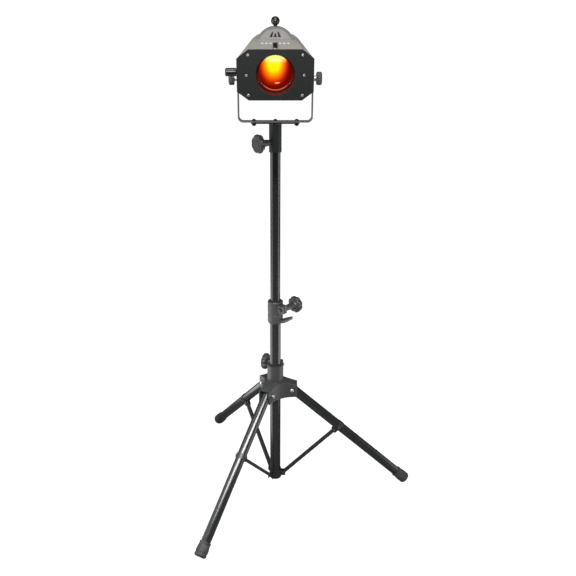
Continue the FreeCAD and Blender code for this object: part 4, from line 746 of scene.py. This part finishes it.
# ---------------------------------------------------------------- lamp head
def tilt_knob(side):
    """Knurled knob on a bright stem, with a washer against the yoke."""
    node = "tilt_knob_" + side
    place = joint_frame(node + "_turn")
    low, high = extent(node, place)
    rim = max(high.x, high.y)
    top = high.z
    foot = top - 18.2 * MM
    corners = [(0, foot + 1 * MM), (10 * MM, foot + 1 * MM, 0.4 * MM), (12.5 * MM, foot, 1 * MM),
               (rim - 2.5 * MM, foot, 2 * MM), (rim, foot + 3 * MM, 1.5 * MM),
               (rim, top - 4 * MM, 2.5 * MM), (rim - 3.5 * MM, top, 2 * MM),
               (11 * MM, top - 0.1 * MM, 0.6 * MM), (10 * MM, top - 1.6 * MM, 0.6 * MM),
               (0, top - 1.6 * MM)]
    rule = scalloped(24, rim, rim + 0.3 * MM, 1.5 * MM, 0.12 * MM)
    grip = turned(rounded(corners), place, 288, shape=rule)
    piece(node + "_grip", grip, node, stands_for=[node], finish=FINISHES["knob_grey"], sharp=50)
    stem = rounded([(0, 2.2 * MM), (8.4 * MM, 2.2 * MM, 0.3 * MM),
                    (8.4 * MM, foot - 2.5 * MM, 1 * MM), (9.6 * MM, foot - 1.2 * MM, 0.6 * MM),
                    (9.6 * MM, foot + 1 * MM), (0, foot + 1 * MM)])
    washer = rounded([(4.2 * MM, 0.4 * MM, 0.2 * MM), (11 * MM, 0.4 * MM, 0.4 * MM),
                      (11 * MM, 2.2 * MM, 0.4 * MM), (4.2 * MM, 2.2 * MM, 0.2 * MM)])
    bright = joined([turned(stem, place, 72), turned(washer, place, 72, closed=True)])
    piece(node + "_stem", bright, "zinc", body=node)
    threaded_stud(node + "_stud", place, 5 * MM, low.z, 0.5 * MM, node)


def pan_screw(place, radius, height, shank):
    """Domed screw with a cross recess, standing on local Z = 0."""
    arm = radius * 0.52
    half = radius * 0.13

    def cross(angle, reach, level):
        if reach > arm + 1e-9:
            return reach
        folded = abs((angle + math.pi / 4) % (math.pi / 2) - math.pi / 4)
        share = reach / arm
        flat = arm / math.cos(folded)
        if flat * math.sin(folded) <= half:
            return flat * share
        return half / math.sin(folded) * share

    corners = [(0, -shank), (radius * 0.45, -shank), (radius * 0.45, 0), (radius, 0)]
    for step in range(1, 7):
        lean = math.pi / 2 * step / 8
        corners.append((radius * math.cos(lean) ** 0.6, height * math.sin(lean)))
    corners += [(radius * 0.56, height * 0.985), (arm, height), (arm * 0.8, height * 0.35),
                (0, height * 0.25)]
    return turned([Vector(c) for c in corners], place, 64, shape=cross)


def casing_screws():
    """Screws of the front plate and the rear panel, each with its recess turned its own way."""
    corner_inset = 34.5 * MM
    side_inset = 29.5 * MM
    edge_inset = 16 * MM
    rear_inset = 12 * MM
    rear_drop = 26 * MM
    plate_low, plate_high = extent("front_plate", HEAD)
    lens_low, lens_high = extent("front_lens", HEAD)
    level = (lens_low.z + lens_high.z) / 2
    half = (plate_high.x - plate_low.x) / 2
    rise = (plate_high.z - plate_low.z) / 2
    parts = []
    spots = [(x * (half - corner_inset), z * (rise - edge_inset)) for x in (-1, 1) for z in (-1, 1)]
    spots += [(x * (half - side_inset), 0) for x in (-1, 1)]
    for number, (x, z) in enumerate(spots):
        spot = HEAD @ Vector((x, plate_low.y, level + z))
        way = ACROSS + HEAD_UP * math.tan(0.5 + 1.1 * number)
        parts.append(pan_screw(axes(spot, -BACKWARD, way), 4.2 * MM, 2.4 * MM, 2.9 * MM))
    rear_low, rear_high = extent("rear_panel", HEAD)
    for x in (rear_low.x + rear_inset, rear_high.x - rear_inset):
        for z in (-1, 1):
            spot = HEAD @ Vector((x, rear_high.y, level + z * (rise - rear_drop)))
            way = ACROSS + HEAD_UP * math.tan(0.4 + 3 * x / MM)
            parts.append(pan_screw(axes(spot, BACKWARD, way), 3.6 * MM, 2.2 * MM, 1.9 * MM))
    piece("casing_screws_turned", joined(parts), "casing_screws", stands_for=["casing_screws"],
          finish=FINISHES["grey_zinc"])


def seam_screws():
    """Short screws along the seam between cover and tray, on both tapering sides."""
    front = extent("upper_cover", HEAD)
    rear = extent("rear_panel", HEAD)
    seam = front[0].z
    slope = (front[1].x - rear[1].x) / (rear[1].y - front[0].y)
    parts = []
    for hand in (-1, 1):
        outward = (ACROSS * hand + BACKWARD * slope).normalized()
        for share in (0.50, 0.93):
            y = front[0].y + (rear[1].y - front[0].y) * share
            x = hand * (front[1].x - slope * (y - front[0].y))
            spot = HEAD @ Vector((x, y, seam + 9 * MM))
            parts.append(pan_screw(axes(spot, outward, HEAD_UP + BACKWARD * share), 3.2 * MM,
                                   1.8 * MM, 1.2 * MM))
    piece("seam_screws", joined(parts), "zinc", body="head")


def ring_screws():
    """Two screws low on the lens's retaining ring."""
    low, high = extent("ring_screws", BEAM)
    radius = 2.4 * MM
    parts = []
    for hand in (-1, 1):
        spot = BEAM @ Vector((hand * (high.x - radius), low.y + radius, high.z - 1.6 * MM))
        parts.append(pan_screw(axes(spot, -BACKWARD, ACROSS + HEAD_UP * hand), radius, 1.6 * MM,
                               1.4 * MM))
    piece("ring_screws_turned", joined(parts), "ring_screws", stands_for=["ring_screws"],
          finish=FINISHES["led_metal"])


def front_lens():
    """Plano-convex lens with a ground edge."""
    low, high = extent("front_lens", BEAM)
    radius = high.x
    edge = 5 * MM
    crown = high.z - low.z - edge
    curve = (radius ** 2 + crown ** 2) / (2 * crown)
    corners = [Vector((0, low.z)), Vector((radius - 0.5 * MM, low.z)),
               Vector((radius, low.z + 0.5 * MM)), Vector((radius, low.z + edge - 0.4 * MM))]
    steps = 28
    for step in range(steps, -1, -1):
        reach = (radius - 0.4 * MM) * step / steps
        corners.append(Vector((reach, low.z + edge + math.sqrt(curve ** 2 - reach ** 2)
                               - (curve - crown))))
    piece("front_lens_polished", turned(corners, BEAM, 160), "front_lens",
          stands_for=["front_lens"], sharp=40)


def lens_shroud():
    """Baffled tube behind the plate's opening: fine grooves kill stray light."""
    low, high = extent("lens_shroud", BEAM)
    inner = 59 * MM
    groove = 2.6 * MM
    corners = [(inner, high.z), (inner + 6 * MM, high.z), (inner + 6 * MM, high.z - 1.5 * MM),
               (inner + 1.5 * MM, high.z - 1.5 * MM), (inner + 1.5 * MM, low.z), (inner, low.z)]
    count = int((high.z - low.z) / groove) - 1
    for i in range(count):
        at = low.z + groove * (i + 0.6)
        corners += [(inner, at), (inner + 0.7 * MM, at + groove * 0.3),
                    (inner, at + groove * 0.6)]
    bm = turned([Vector(c) for c in corners], BEAM, 144, closed=True)
    piece("lens_shroud_baffled", bm, "lens_shroud", stands_for=["lens_shroud"],
          finish=FINISHES["ring_black"])


def zoom_grip():
    """Polished grip with two turned grooves."""
    low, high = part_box("zoom_grip")
    middle = (low + high) / 2
    place = axes((high.x, middle.y, middle.z), -ACROSS, HEAD_UP)
    low, high = extent("zoom_grip", place)
    rim = (high.x - low.x) / 2
    length = high.z
    corners = [(0, 0), (rim - 3 * MM, 0, 0.6 * MM), (rim, 2.2 * MM, 1.5 * MM)]
    for at in (5.5 * MM, length - 7.5 * MM):
        corners += [(rim, at, 0.2 * MM), (rim - 0.6 * MM, at + 0.6 * MM, 0.3 * MM),
                    (rim, at + 1.2 * MM, 0.2 * MM)]
    corners += [(rim, length - 2.5 * MM, 2 * MM), (rim - 3.5 * MM, length, 1 * MM),
                (4.5 * MM, length - 0.2 * MM, 0.4 * MM), (4 * MM, length - 1 * MM, 0.3 * MM),
                (0, length - 1 * MM)]
    piece("zoom_grip_turned", turned(rounded(corners), place, 96), "zoom_grip",
          stands_for=["zoom_grip"], sharp=50)


def ball_knob():
    """Moulded ball with a waisted neck."""
    low, high = extent("ball_knob", HEAD)
    radius = (high.x - low.x) / 2
    middle = Vector(((low.x + high.x) / 2, (low.y + high.y) / 2, high.z - radius))
    place = axes(HEAD @ middle, HEAD_UP, ACROSS)
    foot = low.z - middle.z
    neck = 4.6 * MM
    start = -math.acos(neck / radius)
    corners = rounded([(0, foot), (6.2 * MM, foot, 0.4 * MM), (5.9 * MM, foot + 0.9 * MM, 0.4 * MM),
                       (neck, foot + 2.4 * MM)])
    steps = 36
    for step in range(steps + 1):
        lean = start + (math.pi / 2 - start) * step / steps
        corners.append(Vector((max(0.0, radius * math.cos(lean)), radius * math.sin(lean))))
    corners[-1] = Vector((0, radius))
    piece("ball_knob_polished", turned(corners, place, 112), "ball_knob",
          stands_for=["ball_knob"], sharp=50)


def focus_lever():
    """Finger block with serrations across its top."""
    low, high = extent("focus_lever", HEAD)
    rise = high.z - low.z
    ridge = 2.0 * MM
    outline = [(low.y, low.z), (high.y, low.z), (high.y - 1.2 * MM, low.z + rise * 0.6)]
    start = high.y - 2.6 * MM
    count = int((start - low.y - 2.6 * MM) / ridge)
    outline.append((start, high.z - 0.3 * MM))
    for i in range(count):
        at = start - ridge * i
        outline += [(at - ridge * 0.35, high.z), (at - ridge * 0.7, high.z - 0.9 * MM)]
    outline += [(low.y + 2.6 * MM, high.z - 0.3 * MM), (low.y + 1.2 * MM, low.z + rise * 0.6)]
    place = HEAD @ axes((low.x, 0, 0), ACROSS, (0, 1, 0))
    bm = prism(outline, 0, high.x - low.x, place, 0.35 * MM)
    piece("focus_lever_ribbed", bm, "focus_lever", stands_for=["focus_lever"],
          finish=FINISHES["lever_paint"], sharp=40)


def top_marks():
    """Six plain printed bars across the cover, three each side of the focus slot's line."""
    low, high = extent("upper_cover", HEAD)
    start = low.y + 132 * MM
    end = start + 26 * MM
    surface = high.z
    half = 3.3 * MM
    first, pitch = 14.5, 13.2
    parts = []
    for hand in (-1, 1):
        for i in range(3):
            middle = hand * (first + pitch * i) * MM
            bar = [(middle - half, start), (middle + half, start), (middle + half, end),
                   (middle - half, end)]
            parts.append(prism(bar, surface - 0.05 * MM, surface + 0.12 * MM, HEAD, 0.03 * MM))
    piece("scale_dashes", joined(parts), "silver_paint", body="head", finish=PRINT_WHITE)


def rocker_switch():
    """Rocker with a dished face and two moulded marks, a bar and a ring."""
    place = HEAD @ Matrix.Translation(HEAD.inverted() @ Vector(JOINTS["power_rocker"]["pos_m"]))
    tip = math.radians(10)
    place = place @ Matrix.Rotation(-tip, 4, "Z")
    low, high = extent("rocker_switch", place)
    half = high.x
    steps = 14
    slope = math.tan(tip)
    outline = [(-half + 2.5 * MM, low.y), (half - 2.5 * MM, low.y)]
    for step in range(steps + 1):
        x = half - 2 * half * step / steps
        dish = 1.4 * MM + 0.4 * MM * abs(x) / half + abs(x) * slope
        outline.append((x, dish))
    bm = prism(outline, low.z, high.z, place, 0.3 * MM)
    piece("rocker_moulded", bm, "rocker_switch", stands_for=["rocker_switch"], sharp=30)
    marks = []
    for hand in (-1, 1):
        x = hand * half * 0.55
        spot = place @ Vector((x, 1.6 * MM + abs(x) * slope, 0))
        way = place.to_3x3() @ Vector((-hand * slope, 1, 0))
        seat = axes(spot, way, place.to_3x3() @ Vector((0, 0, 1)))
        if hand < 0:
            bar = [(-2 * MM, -0.3 * MM), (2 * MM, -0.3 * MM), (2 * MM, 0.3 * MM),
                   (-2 * MM, 0.3 * MM)]
            marks.append(prism(bar, 0, 0.22 * MM, seat, 0.04 * MM))
        else:
            ring = [Vector((1.3 * MM, 0)), Vector((1.9 * MM, 0)), Vector((1.9 * MM, 0.22 * MM)),
                    Vector((1.3 * MM, 0.22 * MM))]
            marks.append(turned(ring, seat, 40, closed=True))
    piece("rocker_marks", joined(marks), "moulded_black", body="rocker_switch",
          finish=PRINT_WHITE)


def dimmer_knob():
    """Fluted knob with a skirt and a white pointer line."""
    place = joint_frame("dimmer_turn", HEAD_UP)
    low, high = extent("dimmer_knob", place)
    top = high.z
    skirt = max(high.x, high.y)
    rim = skirt - 1.6 * MM
    foot = top - 15.6 * MM
    corners = [(0, low.z), (3 * MM, low.z, 0.3 * MM), (3 * MM, foot), (skirt, foot, 0.3 * MM),
               (skirt, foot + 1.6 * MM, 0.8 * MM), (rim, foot + 3.2 * MM, 1 * MM),
               (rim - 1 * MM, top - 1.4 * MM, 1.2 * MM), (rim - 2.6 * MM, top, 0.8 * MM),
               (0, top - 0.2 * MM)]
    rule = scalloped(18, rim, rim + 0.5 * MM, 0.95 * MM, 0.08 * MM)

    def flutes(angle, radius, height):
        if radius > rim + 0.05 * MM or height < foot + 2.4 * MM:
            return radius
        return rule(angle, radius, height)

    bm = turned(rounded(corners), place, 216, shape=flutes)
    piece("dimmer_moulded", bm, "dimmer_knob", stands_for=["dimmer_knob"], sharp=45)
    line = [(1.5 * MM, -0.45 * MM), (rim - 2.7 * MM, -0.45 * MM), (rim - 2.7 * MM, 0.45 * MM),
            (1.5 * MM, 0.45 * MM)]
    piece("dimmer_pointer", prism(line, top - 0.4 * MM, top - 0.02 * MM, place, 0.05 * MM),
          "moulded_black", body="dimmer_knob", finish=PRINT_WHITE)


def make_head():
    """Pieces of the lamp head and its knobs."""
    for node, edge in (("front_plate", 0.7), ("upper_cover", 0.35), ("lower_tray", 0.35),
                       ("rear_panel", 0.4), ("pivot_bosses", 0.3), ("wheel_hood", 0.35),
                       ("rear_handle", 0.3), ("power_inlet", 0.4), ("lens_ring", 0.25),
                       ("wheel_lever", 0.2)):
        refined(node, edge * MM)
    casing_screws()
    seam_screws()
    lens_shroud()
    front_lens()
    ring_screws()
    zoom_grip()
    focus_lever()
    top_marks()
    ball_knob()
    for side in ("left", "right"):
        tilt_knob(side)
    rocker_switch()
    dimmer_knob()


def dress_kept_nodes():
    """Give the CAD nodes that still show their materials; two metal ones are blackened: the colour wheel, as
    painted shade behind the hood's louvres, and the zoom carriage.
    """
    # The black colour wheel paints the shade seen through the hood's louvres.
    blackened = {"colour_wheel": "black_zinc", "zoom_carriage": "lever_paint"}
    for name, node in frame["nodes"].items():
        slot = node.material_slots[0]
        slot.link = "OBJECT"
        slot.material = FINISHES[blackened.get(name, SLOT_OF[name])]


# ---------------------------------------------------------------- stage
def area_light(name, spot, aim, width, height, power):
    """A white rectangular lamp at a spot, turned to face another."""
    data = bpy.data.lights.new(name, "AREA")
    data.shape = "RECTANGLE"
    data.size = width
    data.size_y = height
    data.energy = power
    lamp = bpy.data.objects.new(name, data)
    lamp.location = spot
    lamp.rotation_euler = (Vector(aim) - Vector(spot)).to_track_quat("-Z", "Y").to_euler()
    lamp.visible_camera = False
    bpy.context.scene.collection.objects.link(lamp)
    return lamp


def make_floor():
    """Pale paper floor: the camera sees it bright, while reflections see it at its true grey."""
    bm = bmesh.new()
    bmesh.ops.create_grid(bm, x_segments=8, y_segments=8, size=30)
    mesh = bpy.data.meshes.new("floor")
    bm.to_mesh(mesh)
    bm.free()
    floor = bpy.data.objects.new("floor", mesh)
    floor.location.z = -0.2 * MM
    bpy.context.scene.collection.objects.link(floor)
    paper = Finish("floor_paper", Specular_IOR_Level=0.1)
    paper.colour(paper.ramp(paper.noise(3, 3), [(0.3, (0.15, 0.15, 0.15)),
                                                (0.7, (0.17, 0.17, 0.17))]))
    paper.roughness(paper.spread(paper.noise(20, 3), 0.8, 0.9))
    path = paper.add("ShaderNodeLightPath")
    bright = paper.add("ShaderNodeEmission")
    bright.inputs["Color"].default_value = (1, 1, 1, 1)
    bright.inputs["Strength"].default_value = 1.0
    seen = paper.add("ShaderNodeAddShader")
    paper.feed(seen.inputs[0], paper.shader.outputs[0])
    paper.feed(seen.inputs[1], bright.outputs[0])
    mix = paper.add("ShaderNodeMixShader")
    paper.feed(mix.inputs[0], path.outputs["Is Camera Ray"])
    paper.feed(mix.inputs[1], paper.shader.outputs[0])
    paper.feed(mix.inputs[2], seen.outputs[0])
    paper.feed(paper.tree.nodes["Material Output"].inputs["Surface"], mix.outputs[0])
    mesh.materials.append(paper.material)


def make_world():
    """White surroundings for the camera and a dim, even fill for everything else."""
    world = bpy.data.worlds.new("studio")
    bpy.context.scene.world = world
    world.use_nodes = True
    tree = world.node_tree
    fill = tree.nodes["Background"]
    fill.inputs["Color"].default_value = (0.96, 0.98, 1.0, 1)
    fill.inputs["Strength"].default_value = 0.16
    seen = tree.nodes.new("ShaderNodeBackground")
    seen.inputs["Color"].default_value = (1, 1, 1, 1)
    seen.inputs["Strength"].default_value = 1.05
    path = tree.nodes.new("ShaderNodeLightPath")
    mix = tree.nodes.new("ShaderNodeMixShader")
    tree.links.new(path.outputs["Is Camera Ray"], mix.inputs[0])
    tree.links.new(fill.outputs[0], mix.inputs[1])
    tree.links.new(seen.outputs[0], mix.inputs[2])
    tree.links.new(mix.outputs[0], tree.nodes["World Output"].inputs["Surface"])


def make_lights():
    """Strips lying face up on the floor, and others beside it, light the tubes' edges.

    The panel, the box overhead and the two keys model the rest.
    """
    for hand, length, x, y in ((-1, 3.5, 2.217, -0.096), (1, 3.2, 2.35, -0.16)):
        strip = area_light("floor_strip", (hand * x, y, 0.01), (0, 0, 0), length, 1.7,
                           13.75 * length)
        strip.rotation_euler = (math.pi, 0, hand * math.radians(-25))
        area_light("side_strip", (hand * 3.2, -0.1, 0.6), (0, -0.1, 0.6), 2.8, 0.7, 17)
    area_light("left_panel", (-1.6, -0.5, 1.7), (-0.1, -0.2, 0.3), 1.8, 1.4, 15)
    area_light("head_box", (0, -0.5, 2.9), (0, 0, 1.55), 1.0, 1.0, 11)
    area_light("front_key", (0, -1.45, 2.15), (0, 0, 1.2), 1.0, 0.6, 20)
    area_light("leg_key", (-0.1, -0.85, 1.16), (-0.1, -0.78, 0.3), 1.3, 0.35, 34)


def make_camera():
    """Camera at the head's height, looking down at the stand."""
    drop = 20.7
    data = bpy.data.cameras.new("camera")
    data.sensor_width = 36.0
    data.lens = 45.06
    data.shift_x = 0.022
    data.clip_end = 100
    camera = bpy.data.objects.new("camera", data)
    camera.location = (0, -2.420, 1.734)
    camera.rotation_euler = (math.radians(90 - drop), 0, 0)
    bpy.context.scene.collection.objects.link(camera)
    bpy.context.scene.camera = camera


make_stand()
make_head()
dress_kept_nodes()
make_floor()
make_world()
make_lights()
make_camera()
bpy.context.scene.view_settings.view_transform = "Standard"

bpy.context.view_layer.update()
